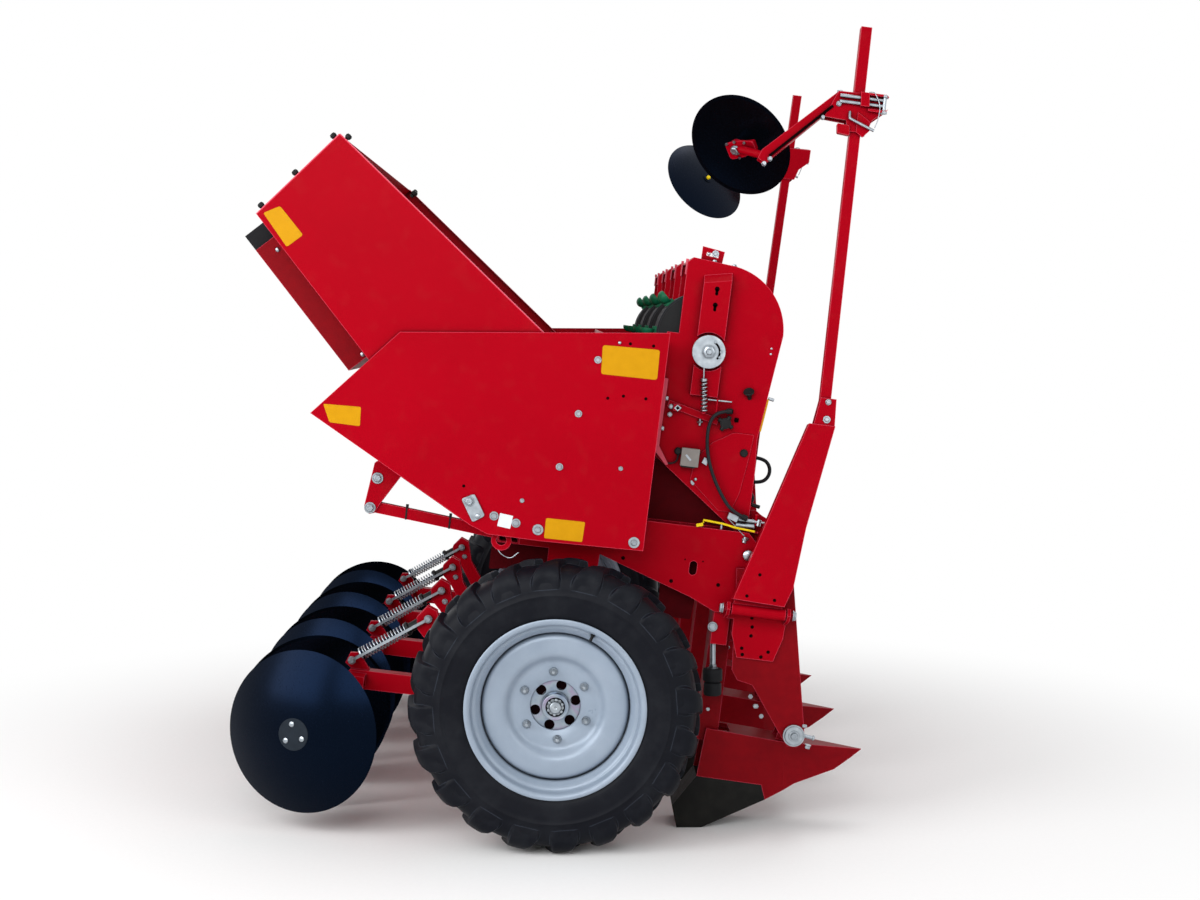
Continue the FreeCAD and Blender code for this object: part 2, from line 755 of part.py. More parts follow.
# ---------------------------------------------------------------- hoses
loom_radius = 6.5
loom_y = drive_face - 28.0
loom_route = [(492, loom_y, 1104), (450, loom_y, 1096), (430, loom_y, 1035), (440, loom_y, 945),
              (473, loom_y, 860), (522, loom_y, 783), (560, loom_y, 744), (597, loom_y, 730)]
loop_radius = 7.0
loop_y = -1000.0
loop_route = [(645, loop_y, 931), (683, loop_y, 931), (710, loop_y, 903), (710, loop_y, 865),
              (683, loop_y, 838), (645, loop_y, 838)]


def cord_path(route):
    """Straight runs joined by the largest tangent arcs that fit."""
    points = [Vector(*p) for p in route]
    edges = []
    start = points[0]
    radii = []
    for before, corner, after in zip(points, points[1:], points[2:]):
        into = (corner - before).normalize()
        out = (after - corner).normalize()
        turn = into.getAngle(out)
        cut = 0.45 * min((corner - before).Length, (after - corner).Length)
        radii.append(cut / math.tan(turn / 2))
        first = corner - into * cut
        last = corner + out * cut
        inside = (out - into).normalize()
        middle = corner + inside * (radii[-1] / math.cos(turn / 2) - radii[-1])
        edges.append(Part.LineSegment(start, first).toShape())
        edges.append(Part.Arc(first, middle, last).toShape())
        start = last
    edges.append(Part.LineSegment(start, points[-1]).toShape())
    return Part.Wire(edges), radii


def hose(name, route, radius):
    """Round hose along a route, with its bend radii printed."""
    path, radii = cord_path(route)
    heading = Vector(*route[1]) - Vector(*route[0])
    ring = Part.Wire(Part.makeCircle(radius, Vector(*route[0]), heading))
    tube = path.makePipeShell([ring], True, False)
    print("%s: length %.0f, radii %s" % (name, path.Length, [round(r) for r in radii]))
    return tube


def gland(route, radius):
    """Sleeve that a hose end goes into, in line with its last run, and the middle of the sleeve."""
    end, before = Vector(*route[0]), Vector(*route[1])
    away = (end - before).normalize()
    return rod(tuple(end), tuple(end + away * 3 * radius), radius + 4), end + away * 2 * radius


def hose_glands():
    """Sleeves at both ends of both hoses."""
    solids = []
    for route in (loom_route, loom_route[::-1]):
        sleeve, middle = gland(route, loom_radius)
        foot = box(middle.x - 8, middle.x + 8, loom_y, drive_face, middle.z - 8, middle.z + 8)
        solids.append(joined([sleeve, foot]))
    for end in (loop_route[0], loop_route[-1]):
        solids.append(rod((625, end[1], end[2]), end, loop_radius + 4))
    return solids


# ---------------------------------------------------------------- closing discs
arm_x0 = -770.0
arm_z0 = -98.0
arm_height = 70.0
tool_beam_rear = -420.0


def disc_frame(shape, y, side):
    """Put a piece drawn about the Y axis on a disc centre, toed out at the front."""
    copy = shape.copy()
    if side < 0:
        copy = mirrored(copy)
    copy.rotate(Vector(0, 0, 0), Vector(0, 0, 1), side * disc_toe)
    return moved(copy, disc_x, y + side * disc_spread, disc_z)


def closing_disc():
    """Dished disc with its bearing housing on the hollow side; the crown points to +Y."""
    r = disc_radius
    sphere = (r * r + disc_depth * disc_depth) / (2 * disc_depth)
    cy = disc_depth - sphere
    outer = Part.makeSphere(sphere, Vector(0, cy, 0))
    inner = Part.makeSphere(sphere - disc_plate, Vector(0, cy, 0))
    width = 2 * r + 2
    dish = outer.cut(inner).common(Part.makeBox(width, disc_depth + 2, width, Vector(-r - 1, 0, -r - 1)))
    housing_end = -40.0
    bearing = cross_rod(0, 0, 48, housing_end, disc_depth)
    bearing = bearing.common(Part.makeSphere(sphere - disc_plate + 1, Vector(0, cy, 0)))
    body = joined([dish, bearing])
    return body.cut(cross_rod(0, 0, spindle_radius + running_clearance, housing_end - 1, 25))


def disc_spindle():
    return joined([cross_rod(0, 0, spindle_radius, -60, 20), cross_rod(0, 0, 28, -95, -45)])


def closing_arm():
    """Trailing arm of one row with a cross piece and the two disc legs."""
    solids = [box(arm_x0, tool_beam_rear, -30, 30, arm_z0, arm_z0 + arm_height)]
    solids.append(box(arm_x0, arm_x0 + 60, -100, 100, arm_z0 + 10, arm_z0 + arm_height - 10))
    for side in (-1, 1):
        y = side * (disc_spread - 80 * math.cos(math.radians(disc_toe)))
        leg = [(arm_x0, arm_z0 + arm_height - 10), (arm_x0 + 60, arm_z0 + arm_height - 10),
               (arm_x0 + 60, arm_z0), (disc_x + 55, disc_z - 40), (disc_x - 15, disc_z - 40),
               (disc_x - 15, disc_z + 30)]
        solids.append(prism(leg, y - 6, y + 6))
        solids.append(disc_frame(disc_spindle(), 0, side))
    return joined(solids)


spring_foot = (-769.0, 7.0)
spring_head = (-504.0, 195.0)
spring_radius = 25.0
spring_bar_y = 36.0


def arm_ear():
    """Upright ear on the arm that carries the foot of the pressure spring."""
    top = arm_z0 + arm_height
    x, z = spring_foot
    ear = [(x + 27, top), (x + 69, top), (x + 24, z + 27), (x - 11, z + 23), (x - 25, z - 17), (x - 1, top)]
    return joined([prism(ear, -8, 8), cross_rod(x, z, 9, -spring_bar_y - 9, 16)])


def closing_bracket():
    """Two upright cheeks on the tool beam with the pin of the spring rod."""
    cheek = [(-415, -18), (-345, -18), (-450, 133), (-475, 225), (-512, 240), (-548, 195), (-540, 150),
             (-500, 110)]
    x, z = spring_head
    solids = [prism(cheek, 20, 28), prism(cheek, -28, -20)]
    solids.append(cross_rod(x, z, 9, -spring_bar_y - 9, 20))
    return joined(solids)


def spring_place(distance):
    """Point along the pressure spring's line from its foot."""
    dx = spring_head[0] - spring_foot[0]
    dz = spring_head[1] - spring_foot[1]
    length = math.hypot(dx, dz)
    return (spring_foot[0] + dx / length * distance, spring_foot[1] + dz / length * distance)


def spring_span():
    return math.hypot(spring_head[0] - spring_foot[0], spring_head[1] - spring_foot[1])


def on_spring_line(start, end, radius):
    x0, z0 = spring_place(start)
    x1, z1 = spring_place(end)
    return rod((x0, 0, z0), (x1, 0, z1), radius)


def spring_rod():
    """Guide rod through the spring with the cap at its upper end."""
    guide = on_spring_line(0, spring_span() - 9.3, 9)
    seat = on_spring_line(40, 46, spring_radius)
    cap = on_spring_line(236, 290, 17)
    lip = on_spring_line(230, 236, spring_radius)
    return joined([guide, seat, cap, lip]).cut(arm_ear())


def closing_spring():
    """Pressure spring of one arm."""
    outer = on_spring_line(46, 230, spring_radius)
    return outer.cut(on_spring_line(45, 231, spring_radius - 6))


def spring_bar():
    """Slender setting bar beside the spring, with an eye on each of its two pins."""
    near, far = -spring_bar_y - 8, -spring_bar_y
    bar = [prism(strip(spring_foot, spring_head, 5), near, far)]
    bar += [cross_rod(x, z, 15, near, far) for x, z in (spring_foot, spring_head)]
    pins = [cross_rod(x, z, 9.1, near - 1, far + 1) for x, z in (spring_foot, spring_head)]
    return joined(bar).cut(pins)


# ---------------------------------------------------------------- markers
def marker_base():
    """Plate on the end plate with two lugs, the hinge pin through them."""
    y0 = frame_outer + end_plate
    plate = prism([(612, 400), (806, 395), (800, 300), (775, 215), (640, 215), (612, 300)], y0, y0 + 10)
    lug = [(y0 + 10, marker_hinge_z - 45), (y0 + 10, marker_hinge_z), (marker_hinge_y, marker_hinge_z + 24),
           (marker_hinge_y + 24, marker_hinge_z), (marker_hinge_y, marker_hinge_z - 24)]
    solids = [plate]
    for x in (575, 795):
        wire = Part.makePolygon([Vector(x, y, z) for y, z in lug + lug[:1]])
        solids.append(Part.Face(wire).extrude(Vector(12, 0, 0)))
    shelf = box(575, 807, y0, y0 + 10, marker_hinge_z - 45, marker_hinge_z)
    pin = rod((568, marker_hinge_y, marker_hinge_z), (816, marker_hinge_y, marker_hinge_z), marker_pin_radius)
    return joined(solids + [shelf, pin])


def leaned(shape):
    """Tilt a piece drawn upright over the marker hinge inboard."""
    copy = shape.copy()
    copy.rotate(Vector(0, marker_hinge_y, marker_hinge_z), Vector(1, 0, 0), marker_lean)
    return copy


arm_top_z = 1101.0
pole_top_z = 2590.0
pole_centre_x = 846.0
pole_size = 40.0
marker_depth = 64.0


def marker_arm():
    """Tapered box arm with its knuckle."""
    y0 = marker_hinge_y - marker_depth / 2
    y1 = y0 + marker_depth
    foot = marker_hinge_z + 36
    outline = [(592, foot), (779, foot - 8), (804, foot + 64), (826, foot + 284), (891, arm_top_z),
               (795, arm_top_z)]
    outer = prism(outline, y0, y1)
    hollow = prism(inset(outline, 5), y0 - 1, y1 - 5)
    knuckle = rod((593, marker_hinge_y, marker_hinge_z), (789, marker_hinge_y, marker_hinge_z), 21)
    web = box(598, 775, marker_hinge_y - 8, marker_hinge_y + 8, marker_hinge_z + 10, foot + 4)
    bore = rod((560, marker_hinge_y, marker_hinge_z), (830, marker_hinge_y, marker_hinge_z),
               marker_pin_radius + running_clearance)
    return leaned(joined([outer.cut(hollow), knuckle, web]).cut(bore))


def marker_pole():
    """Square pole between two cheeks on top of the arm."""
    y0 = marker_hinge_y - pole_size / 2
    x0 = pole_centre_x - pole_size / 2
    pole = box(x0, x0 + pole_size, y0, y0 + pole_size, arm_top_z, pole_top_z)
    cheek = [(812, arm_top_z), (889, arm_top_z), (885, arm_top_z + 99), (828, arm_top_z + 99)]
    return leaned(joined([pole, prism(cheek, y0 - 8, y0), prism(cheek, y0 + pole_size, y0 + pole_size + 8)]))


clamp_z = 2300.0


def marker_clamp():
    """Clamp on the pole with the link that carries the marker disc."""
    y0 = marker_hinge_y - pole_size / 2
    half = pole_size / 2
    x = pole_centre_x
    cheek = [(x - 78, clamp_z + 36), (x + 100, clamp_z + 40), (x + 100, clamp_z - 20), (x + 55, clamp_z - 60),
             (x + 40, clamp_z - 110), (x - 30, clamp_z - 110), (x - 40, clamp_z - 70), (x - 120, clamp_z - 65)]
    pole = box(x - half, x + half, y0, y0 + pole_size, clamp_z - 200, clamp_z + 200)
    link = [(x - 78, clamp_z + 36), (x - 60, clamp_z + 5), (528, 2035), (500, 2052), (512, 2085)]
    solids = [prism(cheek, y0 - 8, y0), prism(cheek, y0 + pole_size, y0 + pole_size + 8),
              prism(link, y0, y0 + pole_size)]
    return leaned(joined(solids).cut(pole))


disc_centre = (446.0, marker_hinge_y - 415.0, 2096.0)
disc_axis = (-0.427, 0.73, -0.546)   # outboard, towards the hollow side
marker_disc_depth = 28.0
marker_disc_plate = 4.0
marker_spindle_radius = 10.0


def marker_disc():
    """Dished disc drawn about Z, its crown below and its bearing on the hollow side above."""
    r = marker_disc_radius
    depth = marker_disc_depth
    sphere = (r * r + depth * depth) / (2 * depth)
    centre = Vector(0, 0, sphere - depth)
    outer = Part.makeSphere(sphere, centre)
    inner = Part.makeSphere(sphere - marker_disc_plate, centre)
    width = 2 * r + 2
    dish = outer.cut(inner).common(Part.makeBox(width, width, depth + 2, Vector(-r - 1, -r - 1, -depth - 2)))
    bearing = Part.makeCylinder(32, depth + 12, Vector(0, 0, -depth))
    bearing = bearing.common(Part.makeSphere(sphere - marker_disc_plate + 1, centre))
    bore = Part.makeCylinder(marker_spindle_radius + running_clearance, 60, Vector(0, 0, -depth + 10))
    return joined([dish, bearing]).cut(bore)


def on_disc_axis(shape):
    """Set a piece drawn about Z on the left marker disc's axis."""
    copy = shape.copy()
    copy.Placement = Placement(Vector(*disc_centre), Rotation(Vector(0, 0, 1), Vector(*disc_axis)))
    return copy


def marker_spindle():
    """Spindle in the disc's bearing and the bracket that joins it to the end of the link."""
    pin = Part.makeCylinder(marker_spindle_radius, 48, Vector(0, 0, -12))
    flange = Part.makeCylinder(34, 16, Vector(0, 0, 20))
    head = on_disc_axis(joined([pin, flange]))
    axis = Vector(*disc_axis)
    axis.normalize()
    end = Vector(*disc_centre) + axis * 28
    link_end = leaned(Part.Vertex(520, marker_hinge_y, 2068)).Point
    return joined([head, rod(tuple(end), tuple(link_end), 15)])


# ---------------------------------------------------------------- assembly
def assembly():
    """Every piece by node name, in the machine frame."""
    parts = {}
    parts["side_frames"] = pair(side_frame())
    parts["cross_beams"] = cross_beams()
    parts["stub_axles"] = pair(stub_axle())
    parts["headstock"] = headstock()
    parts["share_hangers"] = share_hangers()
    parts["share_shaft"] = [share_shaft()]
    parts["furrow_openers"] = [moved(furrow_opener(), y=y) for y in rows()]
    parts["wear_shoes"] = [moved(wear_shoe(), y=y) for y in rows()]
    bracket, pads = stop_buffer()
    parts["buffer_brackets"] = pair(bracket)
    parts["buffer_pads"] = pair(pads)
    parts["hopper_sides"] = pair(hopper_side())
    parts["hopper_floor"] = hopper_floor()
    parts["hopper_struts"] = pair(hopper_strut())
    parts["lifting_eyes"] = pair(lifting_eye())
    parts["bin_shell"] = [bin_shell()]
    parts["bin_tray"] = [bin_tray()]
    parts["bin_bumper"] = [bin_bumper()]
    parts["row_housings"] = [moved(housing(), y=y) for y in rows()]
    parts["planting_tubes"] = [moved(planting_tube(), y=y) for y in rows()]
    parts["belt_guides"] = [moved(belt_guide(), y=y) for y in rows()]
    parts["cup_belts"] = [moved(belt, y=y) for y in rows() for belt in cup_belts()]
    parts["cups"] = [moved(one, y=y) for y in rows() for one in cups()]
    parts["drive_channel"] = [drive_channel(), top_bracket()]
    parts["drive_disc"] = [drive_disc()]
    parts["drive_spring"] = [drive_spring()]
    parts["drive_lever"] = [drive_lever()]
    parts["control_box"] = [control_box()]
    parts["control_knobs"] = control_knobs()
    parts["hose_loom"] = [hose("loom", loom_route, loom_radius)]
    parts["hose_loop"] = [hose("loop", loop_route, loop_radius)]
    parts["hose_glands"] = hose_glands()
    arm = joined([closing_arm(), arm_ear()])
    parts["closing_arms"] = [moved(arm, y=y) for y in rows()]
    parts["closing_brackets"] = [moved(closing_bracket(), y=y) for y in rows()]
    parts["closing_springs"] = [moved(closing_spring(), y=y) for y in rows()]
    parts["spring_rods"] = [moved(spring_rod(), y=y) for y in rows()]
    parts["spring_bars"] = [moved(spring_bar(), y=y) for y in rows()]
    for i, y in enumerate(rows()):
        for side, name in ((-1, "right"), (1, "left")):
            parts["closing_disc_%d_%s" % (i + 1, name)] = [disc_frame(closing_disc(), y, side)]
    left = {
        "tyre": tyre(), "rim": rim(), "hub": hub(), "marker_base": marker_base(), "marker_arm": marker_arm(),
        "marker_pole": marker_pole(), "marker_clamp": joined([marker_clamp(), marker_spindle()]),
        "marker_disc": on_disc_axis(marker_disc()),
    }
    for name, shape in left.items():
        parts[name + "_left"] = [shape]
        parts[name + "_right"] = [mirrored(shape)]
    return parts


def main():
    os.makedirs("parts", exist_ok=True)
    parts = assembly()
    turn = Placement(Vector(0, 0, 0), Rotation(Vector(0, 1, 0), parking_pitch))
    placed = {}
    for name, solids in parts.items():
        shape = solids[0] if len(solids) == 1 else Part.makeCompound(solids)
        placed[name] = shape.copy()
        placed[name].Placement = turn.multiply(placed[name].Placement)
    bounds = FreeCAD.BoundBox()
    for shape in placed.values():
        bounds.add(shape.optimalBoundingBox(False, False))
    centre = Vector(-(bounds.XMin + bounds.XMax) / 2, 0, tyre_radius)
    for name, shape in placed.items():
        shape.translate(centre)
        shape.exportStep("parts/%s.step" % name)
    print("axle at x = %.3f" % centre.x)
    print("length %.1f width %.1f height %.1f" % (bounds.XLength, bounds.YLength, bounds.ZMax + tyre_radius))


main()
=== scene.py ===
"""Finished look of a four-row mounted potato planter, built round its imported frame."""

import math

import bmesh
import bpy
from bpy.props import FloatProperty, FloatVectorProperty, IntProperty, PointerProperty
from mathutils import Matrix, Vector


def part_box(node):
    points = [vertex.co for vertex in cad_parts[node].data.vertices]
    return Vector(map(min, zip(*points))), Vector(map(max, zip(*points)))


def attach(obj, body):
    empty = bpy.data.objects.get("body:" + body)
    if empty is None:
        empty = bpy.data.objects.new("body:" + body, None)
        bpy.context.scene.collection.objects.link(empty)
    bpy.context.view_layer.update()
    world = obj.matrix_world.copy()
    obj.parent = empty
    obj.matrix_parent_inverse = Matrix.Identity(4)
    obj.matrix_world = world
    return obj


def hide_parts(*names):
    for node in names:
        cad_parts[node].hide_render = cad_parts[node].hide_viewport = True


bl_info = {
    "name": "Potato planter finish",
    "version": (1, 0, 0),
    "blender": (4, 5, 0),
    "location": "View3D > Sidebar > Planter",
    "description": "Adds the finishes and small parts of a four-row potato planter to its frame",
    "category": "Object",
}

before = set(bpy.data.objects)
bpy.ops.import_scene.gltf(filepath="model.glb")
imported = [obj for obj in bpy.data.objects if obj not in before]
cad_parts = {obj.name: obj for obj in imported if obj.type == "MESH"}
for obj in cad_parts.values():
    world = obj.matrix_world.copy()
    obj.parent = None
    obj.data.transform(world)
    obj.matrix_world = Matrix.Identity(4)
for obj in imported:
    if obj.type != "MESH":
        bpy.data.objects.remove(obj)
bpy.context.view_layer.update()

# ---------------------------------------------------------------- machine frame
# All pieces are drawn in millimetres in the machine's own frame: origin on the wheel axle, X forward,
# Y to the machine's left, Z up. The machine stands nose-down by its parking pitch.
PITCH = math.radians(7.0)
SIDES = {"right": -1, "left": 1}
ROW_PITCH = 750.0
ROWS = tuple(ROW_PITCH * (i - 1.5) for i in range(4))


def axle_point():
    """Middle of the wheel axle in the row frame, read from the hub."""
    low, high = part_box("hub_right")
    return Vector(((low.x + high.x) / 2, 0, (low.z + high.z) / 2))


def reach(node):
    """Distance from the machine's middle to the outer face of a node, in millimetres."""
    return round(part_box(node)[1].y * 1000, 1)


MACHINE = Matrix.Translation(axle_point()) @ Matrix.Rotation(PITCH, 4, "Y") @ Matrix.Scale(0.001, 4)

# Upright planes that the small parts stand on, as distances from the machine's middle.
HOPPER_Y = reach("hopper_sides")
BIN_Y = reach("bin_shell")
HOUSING_Y = reach("row_housings")
BEAM_Y = reach("side_frames")
HANGER_Y = reach("share_hangers")
SHAFT_Y = reach("share_shaft")
STRUT_Y = reach("hopper_struts")
TRAY_Y = reach("bin_tray")
RIM_Y = reach("rim_left")
HUB_Y = reach("hub_left")
AXLE_Y = reach("stub_axles")

# The middle of a marker arm and the height of its hinge, over which it leans inboard.
MARKER_Y = 1385.0
MARKER_HINGE_Z = 400.0
MARKER_LEAN = math.radians(8.0)


def at(x, y, z):
    """Row-frame point, in metres, of a machine-frame point in millimetres."""
    return MACHINE @ Vector((x, y, z))


def aim(centre, axis, spin=0.0):
    """Placing matrix whose Z axis points along a direction."""
    turn = Vector(axis).to_track_quat("Z", "Y").to_matrix().to_4x4()
    return Matrix.Translation(Vector(centre)) @ turn @ Matrix.Rotation(math.radians(spin), 4, "Z")


def leaned(side):
    """Matrix that tilts a piece drawn upright over a marker hinge inboard."""
    hinge = Vector((0, side * MARKER_Y, MARKER_HINGE_Z))
    turn = Matrix.Rotation(side * MARKER_LEAN, 4, "X")
    return Matrix.Translation(hinge) @ turn @ Matrix.Translation(-hinge)


# ---------------------------------------------------------------- mesh helpers
def turned(bm, profile, place, steps=32, closed=False):
    """Turn (radius, height) points about the Z axis of a placing matrix."""
    rings = []
    for i in range(steps):
        a = 2 * math.pi * i / steps
        ring = [Vector((r * math.cos(a), r * math.sin(a), h)) for r, h in profile]
        rings.append([bm.verts.new(place @ point) for point in ring])
    last = len(profile) if closed else len(profile) - 1
    for i in range(steps):
        near, far = rings[i - 1], rings[i]
        for k in range(last):
            n = (k + 1) % len(profile)
            bm.faces.new((near[k], far[k], far[n], near[n]))
    if not closed:
        for k in (0, len(profile) - 1):
            if profile[k][0] > 1e-6:
                bm.faces.new([ring[k] for ring in rings])


def slab(bm, corners, thickness):
    """Flat plate from its corner points, thickened along a vector."""
    near = [bm.verts.new(Vector(c)) for c in corners]
    far = [bm.verts.new(Vector(c) + Vector(thickness)) for c in corners]
    bm.faces.new(near)
    bm.faces.new(far[::-1])
    for i in range(len(corners)):
        bm.faces.new((near[i - 1], near[i], far[i], far[i - 1]))


def upright(bm, outline, y0, y1):
    """Plate with an (x, z) outline between two planes across the machine."""
    slab(bm, [(x, y0, z) for x, z in outline], (0, y1 - y0, 0))


def block(bm, x0, x1, y0, y1, z0, z1):
    """Rectangular block between two planes each way."""
    upright(bm, [(x0, z0), (x1, z0), (x1, z1), (x0, z1)], y0, y1)


def pin(bm, start, end, radius, steps=20, chamfer=1.0):
    """Round bar with broken edges."""
    start, end = Vector(start), Vector(end)
    length = (end - start).length
    c = min(chamfer, radius / 3)
    profile = [(0, 0), (radius - c, 0), (radius, c), (radius, length - c), (radius - c, length), (0, length)]
    turned(bm, profile, aim(start, end - start), steps)


def bolt(bm, centre, axis, flats=19.0, head=9.0, washer=16.0, spin=0.0):
    """Hexagon head on a flat washer: width across flats, height, washer radius or 0, and turn in degrees."""
    place = aim(centre, axis, spin)
    if washer:
        turned(bm, [(0, -1), (washer, -1), (washer, 1.8), (washer - 0.8, 2.6), (0, 2.6)], place, 28)
    corner = flats / math.sqrt(3)
    turned(bm, [(0, 0), (corner, 0), (corner, head - 1.5), (corner * 0.86, head), (corner * 0.55, head),
                (corner * 0.5, head - 0.7), (0, head - 0.7)], place, 6)


def round_head(bm, centre, axis, radius=8.0, height=5.0):
    """Domed coach-bolt or rivet head."""
    profile = [(0, -1), (radius, -1), (radius, 0.5)]
    for k in range(1, 5):
        a = math.pi / 2 * k / 4
        profile.append((radius * math.cos(a), 0.5 + (height - 0.5) * math.sin(a)))
    turned(bm, profile, aim(centre, axis), 20)


def hole(bm, centre, axis, radius):
    """Painted shade in the mouth of a small hole: a thin dark disc on its plate."""
    turned(bm, [(0, 0), (radius, 0), (radius, 0.4), (0, 0.4)], aim(centre, axis), 20)


def rounded(corners, radius, steps=4):
    """Outline with its corners rounded off."""
    corners = [Vector(c) for c in corners]
    found = []
    for i, corner in enumerate(corners):
        before, after = corners[i - 1] - corner, corners[(i + 1) % len(corners)] - corner
        start = corner + before.normalized() * min(radius, before.length * 0.45)
        end = corner + after.normalized() * min(radius, after.length * 0.45)
        for k in range(steps + 1):
            t = k / steps
            p = start * (1 - t) ** 2 + corner * 2 * t * (1 - t) + end * t * t
            found.append((p.x, p.y))
    return found


def swept(bm, points, radius, steps=10):
    """Round wire through points, with its ends closed."""
    points = [Vector(p) for p in points]
    rings = []
    up = Vector((0, 0, 1))
    for i, p in enumerate(points):
        before, after = points[max(i - 1, 0)], points[min(i + 1, len(points) - 1)]
        heading = (after - before).normalized()
        if abs(heading.dot(up)) > 0.95:
            up = Vector((0, 1, 0))
        across = heading.cross(up).normalized()
        over = across.cross(heading)
        up = over
        ring = []
        for k in range(steps):
            a = 2 * math.pi * k / steps
            ring.append(bm.verts.new(p + (across * math.cos(a) + over * math.sin(a)) * radius))
        rings.append(ring)
    for near, far in zip(rings, rings[1:]):
        for k in range(steps):
            bm.faces.new((near[k - 1], near[k], far[k], far[k - 1]))
    bm.faces.new(rings[0])
    bm.faces.new(rings[-1])


def smoothed(points, count=6):
    """Points of a smooth curve through given points."""
    points = [Vector(p) for p in points]
    found = []
    for i in range(len(points) - 1):
        p1, p2 = points[i], points[i + 1]
        p0 = points[max(i - 1, 0)]
        p3 = points[min(i + 2, len(points) - 1)]
        for k in range(count):
            t = k / count
            found.append(0.5 * (2 * p1 + (p2 - p0) * t + (2 * p0 - 5 * p1 + 4 * p2 - p3) * t * t
                                + (3 * p1 - p0 - 3 * p2 + p3) * t ** 3))
    found.append(points[-1])
    return found


def film(bm, corners, side, y, radius):
    """Thin label with rounded corners on an upright plate."""
    slab(bm, [(x, side * y, z) for x, z in rounded(corners, radius)], (0, side * 0.8, 0))


def circle(count, radius, first=0.0):
    """Points of a bolt circle, the first one at an angle in degrees."""
    angles = [math.radians(first + 360 / count * i) for i in range(count)]
    return [(radius * math.cos(a), radius * math.sin(a)) for a in angles]


def placed(made, body, replaces):
    """Hang a finished object on its body, in place of the nodes that it stands for."""
    bpy.context.scene.collection.objects.link(made)
    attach(made, body)
    if replaces:
        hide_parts(*replaces)
    return made


def piece(name, bm, coat, body="root", bevel=0.0, replaces=(), tilt=None, sharp=32.0):
    """Turn a drawing in machine millimetres into a finished piece that rides on a body."""
    bmesh.ops.remove_doubles(bm, verts=bm.verts, dist=0.01)
    if tilt:
        bm.transform(tilt)
    bmesh.ops.recalc_face_normals(bm, faces=bm.faces)
    bm.transform(MACHINE)
    mesh = bpy.data.meshes.new(name)
    bm.to_mesh(mesh)
    bm.free()
    for polygon in mesh.polygons:
        polygon.use_smooth = True
    mesh.set_sharp_from_angle(angle=math.radians(sharp))
    mesh.materials.append(finish(coat))
    made = bpy.data.objects.new(name, mesh)
    if bevel:
        edge = made.modifiers.new("broken_edges", "BEVEL")
        edge.width = bevel / 1000
        edge.segments = 2
        edge.limit_method = "ANGLE"
        edge.harden_normals = True
    return placed(made, body, replaces)


# ---------------------------------------------------------------- finishes
def srgb(colour):
    """Channels of an sRGB hex colour, 0 to 1."""
    return tuple(int(colour[i:i + 2], 16) / 255 for i in (1, 3, 5))


def linear(colour):
    """Linear RGBA of an sRGB hex colour or of its channels."""
    channels = srgb(colour) if isinstance(colour, str) else colour
    return [c / 12.92 if c <= 0.04045 else ((c + 0.055) / 1.055) ** 2.4 for c in channels] + [1.0]


def marks(size):
    """Texture scale of a pattern whose marks are that many millimetres across."""
    return 1000.0 / size


def add(tree, kind, inputs=None, **settings):
    """Add a shader node with its settings; an input given as a socket is linked, and any other is set."""
    new = tree.nodes.new(kind)
    for key, value in settings.items():
        setattr(new, key, value)
    for key, value in (inputs or {}).items():
        if isinstance(value, bpy.types.NodeSocket):
            tree.links.new(value, new.inputs[key])
        else:
            new.inputs[key].default_value = value
    return new


def surface(name, **sockets):
    """New material with its Principled shader; uniform values are set on the shader's own sockets."""
    material = bpy.data.materials.new(name)
    material.use_nodes = True
    tree = material.node_tree
    shader = tree.nodes["Principled BSDF"]
    for key, value in sockets.items():
        shader.inputs[key.replace("_", " ")].default_value = value
    return material, tree, shader


def graded(tree, factor, stops):
    """Colour that runs through (value, hex colour) stops as a factor rises."""
    shade = linear(stops[0][1])
    for (before, _), (after, colour) in zip(stops, stops[1:]):
        share = add(tree, "ShaderNodeMapRange", {"Value": factor, "From Min": before, "From Max": after})
        shade = add(tree, "ShaderNodeMix",
                    {"Factor": share.outputs["Result"], "A": shade, "B": linear(colour)},
                    data_type="RGBA").outputs["Result"]
    return shade


def painted_corner_shade(tree, colour, radius, shade_colour, amount=1.0):
    """Painted shade: colour darkened towards a shade colour in corners and beside nuts, where ambient
    occlusion finds them within a radius in metres.
    """
    open_air = add(tree, "ShaderNodeAmbientOcclusion", {"Distance": radius}, samples=8).outputs["AO"]
    closed = add(tree, "ShaderNodeMapRange",
                 {"Value": open_air, "From Min": 0.25, "From Max": 0.9, "To Min": amount, "To Max": 0.0})
    return add(tree, "ShaderNodeMix",
               {"Factor": closed.outputs["Result"], "A": colour, "B": linear(shade_colour)},
               data_type="RGBA").outputs["Result"]


def edge_wear_and_highlight(tree, colour, radius, edge_colour, amount):
    """Colour turned towards an edge colour along outer edges, within a radius in metres: wear on rubber, and a
    painted highlight along the edges of paint.
    """
    rounded_off = add(tree, "ShaderNodeBevel", {"Radius": radius}, samples=6).outputs["Normal"]
    true = add(tree, "ShaderNodeNewGeometry").outputs["Normal"]
    match = add(tree, "ShaderNodeVectorMath",
                {0: rounded_off, 1: true}, operation="DOT_PRODUCT").outputs["Value"]
    edge = add(tree, "ShaderNodeMapRange",
               {"Value": match, "From Min": 0.985, "From Max": 0.86, "To Max": amount})
    return add(tree, "ShaderNodeMix", {"Factor": edge.outputs["Result"], "A": colour, "B": linear(edge_colour)},
               data_type="RGBA").outputs["Result"]


